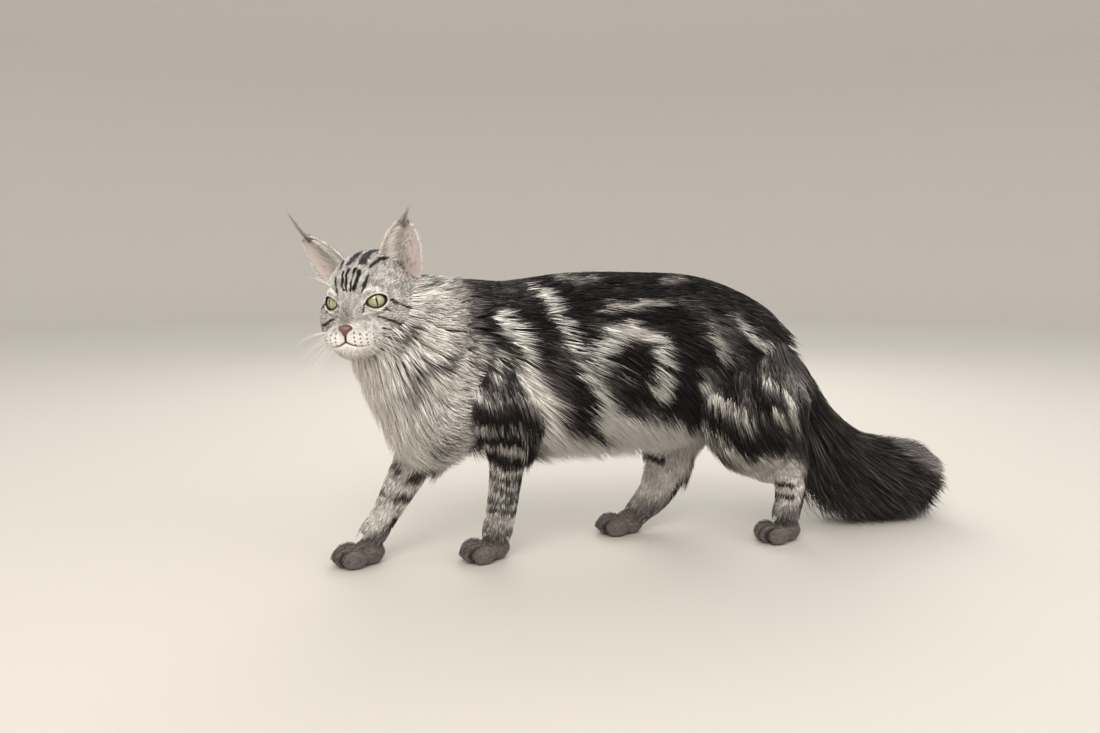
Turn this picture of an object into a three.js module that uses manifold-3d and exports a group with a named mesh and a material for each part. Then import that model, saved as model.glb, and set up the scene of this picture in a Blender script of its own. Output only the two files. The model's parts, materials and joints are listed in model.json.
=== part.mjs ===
// A life-size long-haired cat of a large breed, walking with its head turned to its left.
// Millimetres, +Z up. The cat faces -X and its left side is towards -Y. The middle of its box is at
// x = 0, y = 0, and its soles are on z = 0.
import * as THREE from "three";
import Module from "manifold-3d";
import { mergeVertices } from "three/addons/utils/BufferGeometryUtils.js";

const wasm = await Module();
wasm.setup();

// Driving dimensions, in millimetres
const GAP = 0.34; // between two pieces that meet face to face
const COAT_SHARE = 0.5; // how much of the coat's depth the smooth cores take up
const BOX_MIDDLE = [119.5, -3.7]; // the middle of the cat's box in its working frame

const v3 = (x, y, z) => new THREE.Vector3(x, y, z);
const FLOOR_UP = v3(0, 0, 1);

// Colours of the coat, skin and eyes, for the materials of the pieces
const SILVER = 0xb9b4b0;
const CHARCOAL = 0x3a3534;
const SMOKE = 0x4f4945;
const EAR_PINK = 0xd8c3bd;
const IRIS = 0x9aa06c;
const NOSE_PINK = 0x8d5a58;

const finish = (color, roughness) =>
  new THREE.MeshStandardMaterial({ color, roughness, metalness: 0 });
const silverCoat = finish(SILVER, 0.85);
const darkCoat = finish(CHARCOAL, 0.85);
const smokeCoat = finish(SMOKE, 0.85);
const earSkin = finish(EAR_PINK, 0.7);
const eyeGloss = finish(IRIS, 0.1);
const noseSkin = finish(NOSE_PINK, 0.5);

// Solids

// A closed three.js geometry as a manifold solid, its shared corners merged and its faces out.
function solidOf(geometry) {
  const bare = new THREE.BufferGeometry();
  bare.setAttribute("position", geometry.getAttribute("position"));
  if (geometry.index) bare.setIndex(geometry.index);
  const merged = mergeVertices(bare, 1e-4);
  const triVerts = new Uint32Array(merged.index.array);
  const made = new wasm.Manifold(
    new wasm.Mesh({
      numProp: 3,
      vertProperties: merged.attributes.position.array,
      triVerts,
    }),
  );
  if (made.volume() > 0) return made;
  for (let i = 0; i < triVerts.length; i += 3)
    [triVerts[i + 1], triVerts[i + 2]] = [triVerts[i + 2], triVerts[i + 1]];
  return new wasm.Manifold(
    new wasm.Mesh({
      numProp: 3,
      vertProperties: merged.attributes.position.array,
      triVerts,
    }),
  );
}

// The largest closed surface of a solid, which fills a sealed hollow and drops a loose scrap.
function largest(solid) {
  const pieces = solid.decompose();
  pieces.sort((a, b) => b.volume() - a.volume());
  return pieces[0];
}

// A solid with others cut away from it. Each is cut twice, because two turns of a bent body can lie
// over each other.
function clearOf(solid, ...others) {
  return others.reduce((rest, one) => rest.subtract(one).subtract(one), solid);
}

function union(solids) {
  return solids.reduce((sum, one) => sum.add(one));
}

// Everything under a height.
function below(z) {
  const block = new THREE.BoxGeometry(2000, 2000, 200);
  block.translate(0, 0, z - 100);
  return solidOf(block);
}

// A large block whose face lies on the plane across a path's point, on the side it is heading for.
function beyond({ centre, along }, gap) {
  const block = new THREE.BoxGeometry(500, 500, 500);
  block.translate(0, 0, 250 + gap);
  block.applyQuaternion(new THREE.Quaternion().setFromUnitVectors(FLOOR_UP, along));
  block.translate(...centre);
  return solidOf(block);
}

// A closed skin over rings of points, with a point at each end.
function ringSkin(start, rings, end) {
  const sides = rings[0].length;
  const points = [start, ...rings.flat(), end];
  const last = points.length - 1;
  const corner = (ring, side) => 1 + ring * sides + (side % sides);
  const faces = [];
  for (let i = 0; i < sides; i++) {
    faces.push(0, corner(0, i + 1), corner(0, i));
    faces.push(
      last,
      corner(rings.length - 1, i),
      corner(rings.length - 1, i + 1),
    );
  }
  for (let r = 0; r + 1 < rings.length; r++)
    for (let i = 0; i < sides; i++) {
      faces.push(corner(r, i), corner(r, i + 1), corner(r + 1, i + 1));
      faces.push(corner(r, i), corner(r + 1, i + 1), corner(r + 1, i));
    }
  const geometry = new THREE.BufferGeometry().setFromPoints(points);
  geometry.setIndex(faces);
  return solidOf(geometry);
}

// A repeatable variation: each call gives the next number from -1 to 1 of the same list.
function seeded(seed) {
  let state = seed;
  return () => {
    state = (state * 16807) % 2147483647;
    return (2 * state) / 2147483647 - 1;
  };
}

// A lock of hair: a flat tapered blade along a path, widest at 0.4 of its length, with its flat side
// on the coat. Each has the path's points, the outward directions there, the width and thickness.
const LOCK_SHAPE = [0.7, 1, 0.62]; // width at the root and on towards the tip
function lockSolid({ points, outs, width, thick }, grow) {
  const last = points.length - 1;
  const along = (i) =>
    points[Math.min(i + 1, last)]
      .clone()
      .sub(points[Math.max(i - 1, 0)])
      .normalize();
  const ring = (i) => {
    const half = (width / 2) * LOCK_SHAPE[i] + grow;
    const out = outs[i];
    const across = along(i).cross(out).normalize();
    const flat = thick * (0.5 + 0.5 * LOCK_SHAPE[i]) * 0.5 + grow;
    const at = (a, b) =>
      points[i].clone().addScaledVector(across, a).addScaledVector(out, b);
    return [at(half, 0), at(0, flat), at(-half, 0), at(0, -flat)];
  };
  const rings = Array.from({ length: last }, (_, i) => ring(i));
  return ringSkin(
    points[0].clone().addScaledVector(along(0), -2 - grow),
    rings,
    points[last].clone().addScaledVector(along(last), 2 * grow),
  );
}

// Limbs and trunk: a ring of varying radii carried along a path

// A tube-like body. Each station has the path's point, the flesh's radii [side, upper, lower] and the
// coat's depth on the same three. "upper" is where the path's direction times +Y points.
class Limb {
  constructor(stations, sides, rings) {
    const curve = (pick) =>
      new THREE.CatmullRomCurve3(stations.map(pick), false, "catmullrom", 0.5);
    this.path = curve((s) => v3(...s.at));
    this.radii = curve((s) => v3(...s.flesh));
    this.coat = curve((s) => v3(...s.coat));
    this.sides = sides;
    this.rings = rings;
  }
  // The path's point and directions at u, from 0 to 1.
  frame(u) {
    const along = this.path.getTangent(u);
    const side = v3(0, 1, 0).addScaledVector(along, -along.y).normalize();
    return {
      centre: this.path.getPoint(u),
      along,
      side,
      upper: along.clone().cross(side),
    };
  }
  // A point on the surface at u and turn, where 0 is the +Y side and a quarter turn is upper.
  point(u, turn, share, squeeze = 1) {
    const { centre, side, upper } = this.frame(u);
    const flesh = this.radii.getPoint(u);
    const coat = this.coat.getPoint(u);
    const depth = (axis) =>
      (flesh.getComponent(axis) + share * coat.getComponent(axis)) * squeeze;
    const c = Math.cos(turn);
    const s = Math.sin(turn);
    return centre
      .addScaledVector(side, c * depth(0))
      .addScaledVector(upper, s * depth(s > 0 ? 1 : 2));
  }
  // The same past the far end too, where the body narrows to nothing.
  beyondPoint(u, turn, share) {
    if (u <= 1) return this.point(Math.max(u, 0), turn, share);
    const past = this.path.getLength() * (u - 1);
    const narrow = Math.exp(-3 * (u - 1));
    return this.point(1, turn, share, narrow).addScaledVector(
      this.frame(1).along,
      past,
    );
  }
  // A row or patch of locks that lie along the body. u and turn give the middle and half of the range
  // of their roots, run how far they go along the body (a share of it) and round it (radians), rise
  // the depth in the coat at the root and the tip, and sag how far the tip hangs (millimetres).
  locks({ count, u, turn, run, rise, sag = 0, width, thick = 5, seed }) {
    const random = seeded(seed);
    return Array.from({ length: count }, (_, i) => {
      const place = count > 1 ? (2 * i) / (count - 1) - 1 : 0;
      const spread = random() * 0.12;
      const rootU = u[0] + u[1] * place + random() * 0.012;
      const rootTurn = turn[0] + turn[1] * place + spread;
      const long = 1 + 0.14 * random();
      const swing = 0.1 * random();
      const hang = sag * (1 + 0.3 * random());
      const points = [];
      const outs = [];
      for (let k = 0; k <= LOCK_SHAPE.length; k++) {
        const t = k / LOCK_SHAPE.length;
        const here = rootU + run[0] * long * t;
        const round = rootTurn + run[1] * long * t + swing * t * t;
        const share = rise[0] + (rise[1] - rise[0]) * Math.sin((t * Math.PI) / 2);
        points.push(
          this.beyondPoint(here, round, share).addScaledVector(
            FLOOR_UP,
            -hang * t * t,
          ),
        );
        outs.push(this.normal(Math.min(Math.max(here, 0), 1), round, 0.5));
      }
      return { points, outs, width: width * (1 + 0.15 * random()), thick };
    });
  }
  // The outward direction of the surface there.
  normal(u, turn, share) {
    const step = 0.01;
    const a = this.point(Math.min(u + step, 1), turn, share);
    const b = this.point(Math.max(u - step, 0), turn, share);
    const c = this.point(u, turn + step, share);
    const d = this.point(u, turn - step, share);
    return c.sub(d).cross(a.sub(b)).normalize();
  }
  // The closed body with a shallow dome at each end, moved out by grow all over.
  solid(share, grow = 0) {
    const turns = Array.from(
      { length: this.sides },
      (_, i) => (2 * Math.PI * i) / this.sides,
    );
    const ring = (u) =>
      turns.map((turn) =>
        this.point(u, turn, share).addScaledVector(
          this.normal(u, turn, share),
          grow,
        ),
      );
    const domeHeight = (u) => 0.45 * Math.min(...this.radii.getPoint(u));
    const dome = (u, way) =>
      turns.map((turn) =>
        this.point(u, turn, share, 0.72)
          .addScaledVector(this.frame(u).along, way * (0.7 * domeHeight(u) + grow))
          .addScaledVector(this.normal(u, turn, share), grow),
      );
    const apex = (u, way) =>
      this.path
        .getPoint(u)
        .addScaledVector(this.frame(u).along, way * (domeHeight(u) + 1.5 * grow));
    const rings = Array.from({ length: this.rings + 1 }, (_, r) =>
      ring(r / this.rings),
    );
    return ringSkin(
      apex(0, -1),
      [dome(0, -1), ...rings, dome(1, 1)],
      apex(1, 1),
    );
  }
}

const torso = new Limb(
  [
    { at: [-178, 0, 232], flesh: [34, 66, 44], coat: [14, 8, 26] },
    { at: [-140, 0, 246], flesh: [46, 80, 62], coat: [16, 8, 34] },
    { at: [-80, 0, 246], flesh: [54, 79, 68], coat: [18, 8, 42] },
    { at: [0, 0, 248], flesh: [58, 86, 66], coat: [20, 8, 46] },
    { at: [80, 0, 252], flesh: [57, 82, 64], coat: [22, 8, 50] },
    { at: [150, 0, 250], flesh: [54, 78, 60], coat: [22, 9, 48] },
    { at: [215, 0, 236], flesh: [50, 66, 56], coat: [18, 10, 34] },
    { at: [258, 0, 222], flesh: [34, 48, 40], coat: [14, 12, 24] },
  ],
  18,
  12,
);

const neck = new Limb(
  [
    { at: [-236, -24, 300], flesh: [34, 36, 30], coat: [16, 10, 12] },
    { at: [-212, -14, 279], flesh: [38, 44, 40], coat: [30, 34, 24] },
    { at: [-184, -6, 257], flesh: [42, 58, 48], coat: [32, 36, 38] },
    { at: [-150, 0, 240], flesh: [44, 68, 54], coat: [26, 22, 50] },
    { at: [-108, 0, 232], flesh: [44, 60, 54], coat: [16, 8, 24] },
  ],
  16,
  8,
);

const tail = new Limb(
  [
    { at: [262, 0, 246], flesh: [15, 15, 15], coat: [14, 12, 22] },
    { at: [296, 1, 204], flesh: [12, 12, 12], coat: [22, 13, 30] },
    { at: [334, 3, 148], flesh: [10, 10, 10], coat: [30, 17, 46] },
    { at: [384, 6, 104], flesh: [8, 8, 8], coat: [36, 24, 62] },
    { at: [440, 9, 80], flesh: [6, 6, 6], coat: [38, 32, 60] },
    { at: [490, 11, 66], flesh: [4.5, 4.5, 4.5], coat: [36, 38, 50] },
    { at: [526, 12, 56], flesh: [3, 3, 3], coat: [24, 26, 32] },
  ],
  12,
  13,
);

// The legs, from the top of each to its ankle. For a path that runs down, "upper" is the rear.
const foreLeft = new Limb(
  [
    { at: [-118, -36, 250], flesh: [20, 34, 30], coat: [10, 10, 10] },
    { at: [-100, -44, 206], flesh: [22, 34, 34], coat: [12, 14, 12] },
    { at: [-88, -40, 162], flesh: [19, 26, 25], coat: [9, 14, 12] },
    { at: [-86, -30, 118], flesh: [15, 17, 17], coat: [6, 9, 7] },
    { at: [-89, -17, 66], flesh: [13, 15, 15], coat: [5, 7, 6] },
    { at: [-94, -9, 34], flesh: [15, 17, 15], coat: [5, 5, 5] },
  ],
  12,
  11,
);
const foreRight = new Limb(
  [
    { at: [-134, 34, 246], flesh: [20, 34, 30], coat: [10, 10, 10] },
    { at: [-142, 40, 204], flesh: [22, 33, 32], coat: [12, 14, 12] },
    { at: [-164, 34, 156], flesh: [18, 26, 24], coat: [9, 14, 12] },
    { at: [-192, 26, 108], flesh: [15, 19, 18], coat: [6, 11, 9] },
    { at: [-220, 21, 60], flesh: [13, 14, 14], coat: [5, 6, 5] },
    { at: [-238, 18, 34], flesh: [15, 15, 14], coat: [5, 5, 5] },
  ],
  12,
  11,
);
const hindLeft = new Limb(
  [
    { at: [226, -26, 252], flesh: [26, 44, 44], coat: [10, 14, 8] },
    { at: [222, -44, 204], flesh: [27, 54, 66], coat: [12, 20, 18] },
    { at: [226, -50, 160], flesh: [22, 46, 54], coat: [12, 22, 20] },
    { at: [256, -50, 116], flesh: [17, 27, 38], coat: [8, 14, 16] },
    { at: [274, -47, 88], flesh: [14, 19, 23], coat: [6, 8, 10] },
    { at: [276, -44, 60], flesh: [13, 16, 15], coat: [6, 7, 7] },
    { at: [274, -39, 32], flesh: [15, 16, 14], coat: [5, 5, 5] },
  ],
  12,
  12,
);
const hindRight = new Limb(
  [
    { at: [210, 26, 252], flesh: [26, 44, 42], coat: [10, 14, 8] },
    { at: [186, 44, 204], flesh: [27, 52, 46], coat: [12, 20, 14] },
    { at: [158, 50, 158], flesh: [22, 44, 38], coat: [12, 22, 12] },
    { at: [148, 50, 112], flesh: [17, 28, 28], coat: [8, 12, 12] },
    { at: [144, 47, 82], flesh: [15, 28, 25], coat: [6, 12, 10] },
    { at: [128, 44, 52], flesh: [13, 23, 18], coat: [6, 10, 7] },
    { at: [106, 43, 26], flesh: [15, 14, 15], coat: [5, 4, 5] },
  ],
  12,
  12,
);

// The head, in its own frame: x is forward, y is the cat's left and z is up, with z = 0 at the eyes

const HEAD_AT = v3(-240, -31, 313);
const HEAD_TURN = 241.5; // degrees from +X round +Z: the way the face looks
const HEAD_ROLL = 3.5; // degrees: its right side is the lower one
const HEAD_NOD = 2; // degrees: the face looks a little down

const headFrame = new THREE.Matrix4()
  .makeTranslation(HEAD_AT)
  .multiply(
    new THREE.Matrix4().makeRotationZ(THREE.MathUtils.degToRad(HEAD_TURN)),
  )
  .multiply(
    new THREE.Matrix4().makeRotationY(THREE.MathUtils.degToRad(HEAD_NOD)),
  )
  .multiply(
    new THREE.Matrix4().makeRotationX(THREE.MathUtils.degToRad(HEAD_ROLL)),
  );

// Rounded masses that blend into the head: centre and radii, mirrored where the middle is off axis
const HEAD_MASSES = [
  { name: "cranium", at: [-14, 0, 8], size: [50, 43, 42] },
  { name: "brow", at: [14, 0, 14], size: [26, 33, 22] },
  { name: "cheek", at: [-2, 31, -18], size: [30, 25, 28] },
  { name: "bridge", at: [32, 0, -10], size: [25, 13, 17] },
  { name: "whisker pad", at: [43, 12, -34], size: [17, 16, 12] },
  { name: "chin", at: [36, 0, -46], size: [16, 15, 9] },
  { name: "jaw", at: [8, 0, -38], size: [32, 27, 17] },
  { name: "nape", at: [-30, 0, -16], size: [30, 34, 38] },
];
const BLEND = 0.22; // per millimetre: larger makes the creases between the masses sharper

// Negative inside the blended head, in millimetres near its surface.
function headField(p, grow) {
  let sum = 0;
  for (const { at, size } of HEAD_MASSES)
    for (const side of at[1] ? [1, -1] : [1]) {
      const q = Math.hypot(
        (p.x - at[0]) / (size[0] + grow),
        (p.y - side * at[1]) / (size[1] + grow),
        (p.z - at[2]) / (size[2] + grow),
      );
      sum += Math.exp(-BLEND * (q - 1) * Math.min(...size));
    }
  return -Math.log(sum) / BLEND;
}

// The blended head as rings about its forward axis, closer together towards the nose.
function headSkin(grow) {
  const core = v3(-4, 0, -10);
  const sides = 22;
  const rings = 16;
  const reach = (direction) => {
    let inside = 2;
    let outside = 110;
    for (let i = 0; i < 24; i++) {
      const middle = (inside + outside) / 2;
      const p = core.clone().addScaledVector(direction, middle);
      if (headField(p, grow) < 0) inside = middle;
      else outside = middle;
    }
    return core.clone().addScaledVector(direction, outside);
  };
  const ring = (r) => {
    const polar = Math.PI * (r / rings) ** 1.2;
    return Array.from({ length: sides }, (_, i) => {
      const turn = (2 * Math.PI * i) / sides;
      return reach(
        v3(
          Math.cos(polar),
          Math.sin(polar) * Math.cos(turn),
          Math.sin(polar) * Math.sin(turn),
        ),
      );
    });
  };
  return ringSkin(
    reach(v3(1, 0, 0)),
    Array.from({ length: rings - 1 }, (_, r) => ring(r + 1)),
    reach(v3(-1, 0, 0)),
  );
}

// A smooth ball squeezed to three radii and set at a place.
function ball(at, size, around = 12, down = 8) {
  const geometry = new THREE.SphereGeometry(1, around, down);
  geometry.scale(...size);
  geometry.translate(...at);
  return solidOf(geometry);
}

const EYE = { at: [24.5, 20.6, 0], radius: 12.2 };
const eyeBall = (side, grow) =>
  ball(
    [EYE.at[0], side * EYE.at[1], EYE.at[2]],
    Array(3).fill(EYE.radius + grow),
    14,
    9,
  );

// An eyelid's rim: an oval ring round the opening, raised on the face.
function lidRim(side) {
  const geometry = new THREE.TorusGeometry(9.6, 2.3, 4, 14);
  geometry.scale(1.06, 0.86, 1);
  geometry.rotateX(Math.PI / 2);
  geometry.rotateZ(Math.PI / 2);
  geometry.rotateY(0.14);
  geometry.rotateX(side * 0.16);
  geometry.rotateZ(side * 0.5);
  geometry.translate(
    EYE.at[0] + 7.6,
    side * (EYE.at[1] + 3.4),
    EYE.at[2] - 0.4,
  );
  return solidOf(geometry);
}

// Nose leather: a blunt wedge, broad above and pointed below, with two nostrils cut in.
const NOSE_AT = [56.5, 0, -26];
function noseWedge(grow) {
  const geometry = new THREE.SphereGeometry(1, 12, 7);
  const place = geometry.attributes.position;
  for (let i = 0; i < place.count; i++) {
    const z = place.getZ(i);
    const width = (8.6 + grow) * (0.62 + 0.42 * z);
    place.setXYZ(
      i,
      place.getX(i) * (5.6 + grow),
      place.getY(i) * width,
      z * (6.6 + grow),
    );
  }
  geometry.translate(...NOSE_AT);
  return solidOf(geometry);
}
function nostrils() {
  return [1, -1].map((side) => {
    const geometry = new THREE.SphereGeometry(1, 8, 6);
    geometry.scale(3.2, 1.2, 1.7);
    geometry.rotateX(side * -0.5);
    geometry.translate(NOSE_AT[0] + 4.4, side * 4.1, NOSE_AT[2] - 0.6);
    return solidOf(geometry);
  });
}

// The line of the mouth: a thin curved blade that is cut out, from below the nose out to each cheek.
function mouthLine() {
  return [1, -1].map((side) => {
    const path = new THREE.CatmullRomCurve3([
      v3(60, side * -0.4, -34),
      v3(60.5, side * 0.6, -40),
      v3(57, side * 9, -43.5),
      v3(48, side * 19, -43),
      v3(38, side * 27, -39.5),
    ]);
    const section = new THREE.Shape([
      new THREE.Vector2(-0.7, -5),
      new THREE.Vector2(0.7, -5),
      new THREE.Vector2(0.7, 5),
      new THREE.Vector2(-0.7, 5),
    ]);
    return solidOf(
      new THREE.ExtrudeGeometry(section, { steps: 6, extrudePath: path }),
    );
  });
}

// An ear: a leaf-shaped cup with a wall of even thickness, its hollow facing forward and out.
const EAR = {
  width: 44,
  height: 58,
  wall: 2.2,
  depth: 15,
  across: 6,
  up: 7,
};
// A point of the cup at share s across, from -1 to 1, and share t up, from 0 to 1.
function earPoint(s, t, side, back) {
  const half = (EAR.width / 2) * (1 - t ** 1.7) ** 0.8 + 1.2;
  const bow = EAR.depth * (1 - s * s) * (1 - 0.75 * t);
  const wall = back ? EAR.wall * (1 - 0.6 * t) : 0;
  const lean = side * (s > 0 ? 1.5 : 3) * t * t;
  return v3(-bow - wall, s * (half + (back ? 0.4 : 0)) + lean, EAR.height * t);
}
function earCup(side, grow) {
  const place = earFrame(side);
  const { across, up } = EAR;
  const rim = 2 * (across + 1);
  const ring = (r) => {
    const t = r / up;
    return Array.from({ length: rim }, (_, i) => {
      const back = i > across;
      const s = back ? (2 * (rim - 1 - i)) / across - 1 : (2 * i) / across - 1;
      const p = earPoint(s, t, side, back);
      p.x += back ? -grow : grow;
      p.y += grow * s;
      p.z += grow * (2 * t - 1);
      return p.applyMatrix4(place);
    });
  };
  const rings = Array.from({ length: up + 1 }, (_, r) => ring(r));
  const middle = (points) =>
    points
      .reduce((sum, p) => sum.add(p), v3(0, 0, 0))
      .multiplyScalar(1 / points.length);
  return ringSkin(middle(rings[0]), rings, middle(rings[up]));
}
// How each ear stands on the head, in degrees: it leans away from the middle, its hollow turns
// outwards and its tip nods forward. The two differ, as a listening cat's do.
const EAR_SET = {
  1: { at: [-14, 35, 28], lean: 10, outward: 14, nod: 12 },
  [-1]: { at: [-10, -33, 25], lean: 31.3, outward: 26, nod: 14 },
};
function earFrame(side) {
  const turn = (axis, degrees) =>
    new THREE.Matrix4()["makeRotation" + axis](THREE.MathUtils.degToRad(degrees));
  const { at, lean, outward, nod } = EAR_SET[side];
  return headFrame
    .clone()
    .multiply(new THREE.Matrix4().makeTranslation(...at))
    .multiply(turn("X", -side * lean))
    .multiply(turn("Z", side * outward))
    .multiply(turn("Y", nod));
}
// The tuft on an ear's tip and the hair along its front edge, as locks from inside the cup.
function earLocks(side, grow) {
  const place = earFrame(side);
  const random = seeded(side > 0 ? 91 : 92);
  const lock = (root, tip, bow, width) => {
    const last = LOCK_SHAPE.length;
    const points = Array.from({ length: last + 1 }, (_, k) =>
      v3(...root)
        .lerp(v3(...tip), k / last)
        .add(v3(...bow).multiplyScalar(Math.sin((k / last) * Math.PI)))
        .applyMatrix4(place),
    );
    const out = v3(1, 0, 0).transformDirection(place);
    return lockSolid({ points, outs: Array(last + 1).fill(out), width, thick: 2 }, grow);
  };
  const solids = [
    lock([-2, 0, EAR.height - 8], [2, side * 3, EAR.height + 20], [0, side * -1, 0], 6),
    lock([-2, side * 2, EAR.height - 12], [1, side * 7, EAR.height + 9], [0, 0, 0], 5),
  ];
  for (let k = 0; k < 3; k++)
    solids.push(
      lock([-3, side * -15, 13 + 11 * k], [6, side * (-1 + 3 * random()), 21 + 12 * k],
        [4, 0, 0], 6),
    );
  return union(solids);
}

// Paws: a low mound with four toes in front, flat underneath

function paw(at, heading, long, grow) {
  const place = new THREE.Matrix4()
    .makeTranslation(v3(...at))
    .multiply(
      new THREE.Matrix4().makeRotationZ(THREE.MathUtils.degToRad(heading)),
    );
  const mound = new THREE.SphereGeometry(1, 11, 6);
  mound.scale(long * 0.42 + grow, 18 + grow, 19 + grow);
  mound.translate(-5, 0, 14);
  const solids = [solidOf(mound.applyMatrix4(place))];
  for (const spread of [-1.5, -0.5, 0.5, 1.5]) {
    const inner = Math.abs(spread) < 1;
    const toe = new THREE.SphereGeometry(1, 6, 5);
    toe.scale((inner ? 15 : 14) + grow, 7 + grow, 11.5 + grow);
    toe.rotateZ(spread * 0.16);
    toe.translate(inner ? 17 : 11, spread * 10.2, 10.5);
    solids.push(solidOf(toe.applyMatrix4(place)));
  }
  return union(solids).subtract(below(-grow));
}

// Assembly: each node, cut back from those that it meets

const cat = new THREE.Group();
cat.position.set(-BOX_MIDDLE[0], -BOX_MIDDLE[1], 0);

// A solid's surface as a three.js geometry.
function geometryOf(solid) {
  const mesh = solid.getMesh();
  const geometry = new THREE.BufferGeometry();
  geometry.setAttribute(
    "position",
    new THREE.BufferAttribute(mesh.vertProperties, mesh.numProp),
  );
  geometry.setIndex(new THREE.BufferAttribute(mesh.triVerts, 1));
  return geometry;
}

function addNode(name, solid, material) {
  const geometry = geometryOf(largest(solid));
  geometry.computeVertexNormals();
  const piece = new THREE.Mesh(geometry, material);
  piece.name = name;
  cat.add(piece);
}

// A solid moved from the head's frame to the cat's.
function inHead(solid) {
  const geometry = geometryOf(solid);
  return solidOf(geometry.applyMatrix4(headFrame));
}

// A solid split by a plane across a limb at u, as [before, after], with the gap between.
function splitAt(solid, limb, u, grow = 0) {
  const frame = limb.frame(u);
  return [
    solid.subtract(beyond(frame, grow - GAP / 2)),
    solid.intersect(beyond(frame, GAP / 2 - grow)),
  ];
}

// Head, with the sockets, lids, mouth and nostrils
const headCore = (grow) =>
  inHead(union([headSkin(grow), noseWedge(grow * 0.5)]));
const face = union([headSkin(0), lidRim(1), lidRim(-1)])
  .subtract(union([eyeBall(1, GAP), eyeBall(-1, GAP)]))
  .subtract(union(mouthLine()))
  .subtract(noseWedge(GAP));
addNode("nose", inHead(noseWedge(0).subtract(union(nostrils()))), noseSkin);
for (const [name, side] of [
  ["left", 1],
  ["right", -1],
]) {
  addNode("eye_" + name, inHead(eyeBall(side, 0)), eyeGloss);
  addNode(
    "ear_" + name,
    earCup(side, 0).add(earLocks(side, 0)).subtract(inHead(headSkin(GAP))),
    earSkin,
  );
}

const ABOVE = Math.PI / 2; // turns round a trunk or a limb
const BELOW = -Math.PI / 2;
const LEFT = Math.PI;
const RIGHT = 0;

const ruff = [
  ...neck.locks({ count: 9, u: [0.14, 0], turn: [BELOW, 2.6], run: [0.32, 0],
    rise: [0.15, 1.08], width: 34, seed: 11 }),
  ...neck.locks({ count: 9, u: [0.36, 0], turn: [BELOW, 2.4], run: [0.34, 0],
    rise: [0.15, 1.08], sag: 6, width: 38, seed: 12 }),
  ...neck.locks({ count: 6, u: [0.54, 0], turn: [BELOW, 1.2], run: [0.26, 0],
    rise: [0.15, 1.05], sag: 5, width: 40, seed: 13 }),
];
const belly = [-1, 1].flatMap((side) =>
  torso.locks({ count: 7, u: [0.5, 0.27], turn: [BELOW + side * 0.5, 0],
    run: [0.11, -side * 0.25], rise: [0.15, 1.02], sag: 8, width: 42, seed: 21 + side }),
);
const flanks = [-1, 1].flatMap((side) => [
  ...torso.locks({ count: 6, u: [0.47, 0.26], turn: [BELOW + side * 1.15, 0],
    run: [0.14, -side * 0.3], rise: [0.15, 1.03], sag: 5, width: 44, seed: 31 + side }),
  ...torso.locks({ count: 5, u: [0.5, 0.3], turn: [BELOW + side * 1.9, 0],
    run: [0.17, -side * 0.25], rise: [0.2, 1.0], width: 46, seed: 41 + side }),
]);

const BODY = [
  { name: "head", core: headCore, whole: inHead(face), locks: [], finish: silverCoat },
  { name: "torso", core: (grow) => torso.solid(COAT_SHARE, grow),
    locks: [...belly, ...flanks], finish: darkCoat },
  { name: "neck", core: (grow) => neck.solid(COAT_SHARE, grow), locks: ruff,
    finish: silverCoat },
];

// Legs, each in an upper and a lower length, and paws
const LEGS = [
  { limb: foreLeft, names: ["foreleg_upper_left", "foreleg_lower_left", "forepaw_left"],
    cut: 0.5, paw: [[-106, -7, 0], 184, 50],
    locks: foreLeft.locks({ count: 4, u: [0.34, 0.09], turn: [ABOVE, 0.3], run: [0.15, 0],
      rise: [0.1, 1.15], sag: 4, width: 22, seed: 51 }) },
  { limb: foreRight, names: ["foreleg_upper_right", "foreleg_lower_right", "forepaw_right"],
    cut: 0.5, paw: [[-252, 17, 0], 183, 50],
    locks: foreRight.locks({ count: 4, u: [0.34, 0.09], turn: [ABOVE, 0.3], run: [0.15, 0],
      rise: [0.1, 1.15], sag: 4, width: 22, seed: 52 }) },
  { limb: hindLeft, names: ["thigh_left", "shank_left", "hindpaw_left"],
    cut: 0.55, paw: [[266, -39, 0], 186, 48],
    locks: [0.26, 0.4].flatMap((u, row) => hindLeft.locks({ count: 5, u: [u, 0.01],
      turn: [ABOVE + 0.25, 1], run: [0.18, 0], rise: [0.15, 1.1], sag: 3, width: 32,
      seed: 62 + row })) },
  { limb: hindRight, names: ["thigh_right", "shank_right", "hindpaw_right"],
    cut: 0.55, paw: [[84, 46, 0], 180, 50],
    locks: [0.24, 0.36].flatMap((u, row) => hindRight.locks({ count: 5, u: [u, 0.01],
      turn: [ABOVE - 0.25, 1], run: [0.16, 0], rise: [0.15, 1.1], sag: 3, width: 32,
      seed: 71 + row })) },
];
for (const { limb, names, cut, paw: foot, locks } of LEGS) {
  const core = (grow) => limb.solid(COAT_SHARE, grow).subtract(below(3 - grow));
  BODY.push(
    { name: names[2], core: (grow) => paw(...foot, grow), locks: [], finish: smokeCoat },
    { name: names[0], core: (grow) => splitAt(core(grow), limb, cut, grow)[0], locks,
      finish: darkCoat },
    { name: names[1], core: (grow) => splitAt(core(grow), limb, cut, grow)[1], locks: [],
      finish: silverCoat },
  );
}

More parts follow.
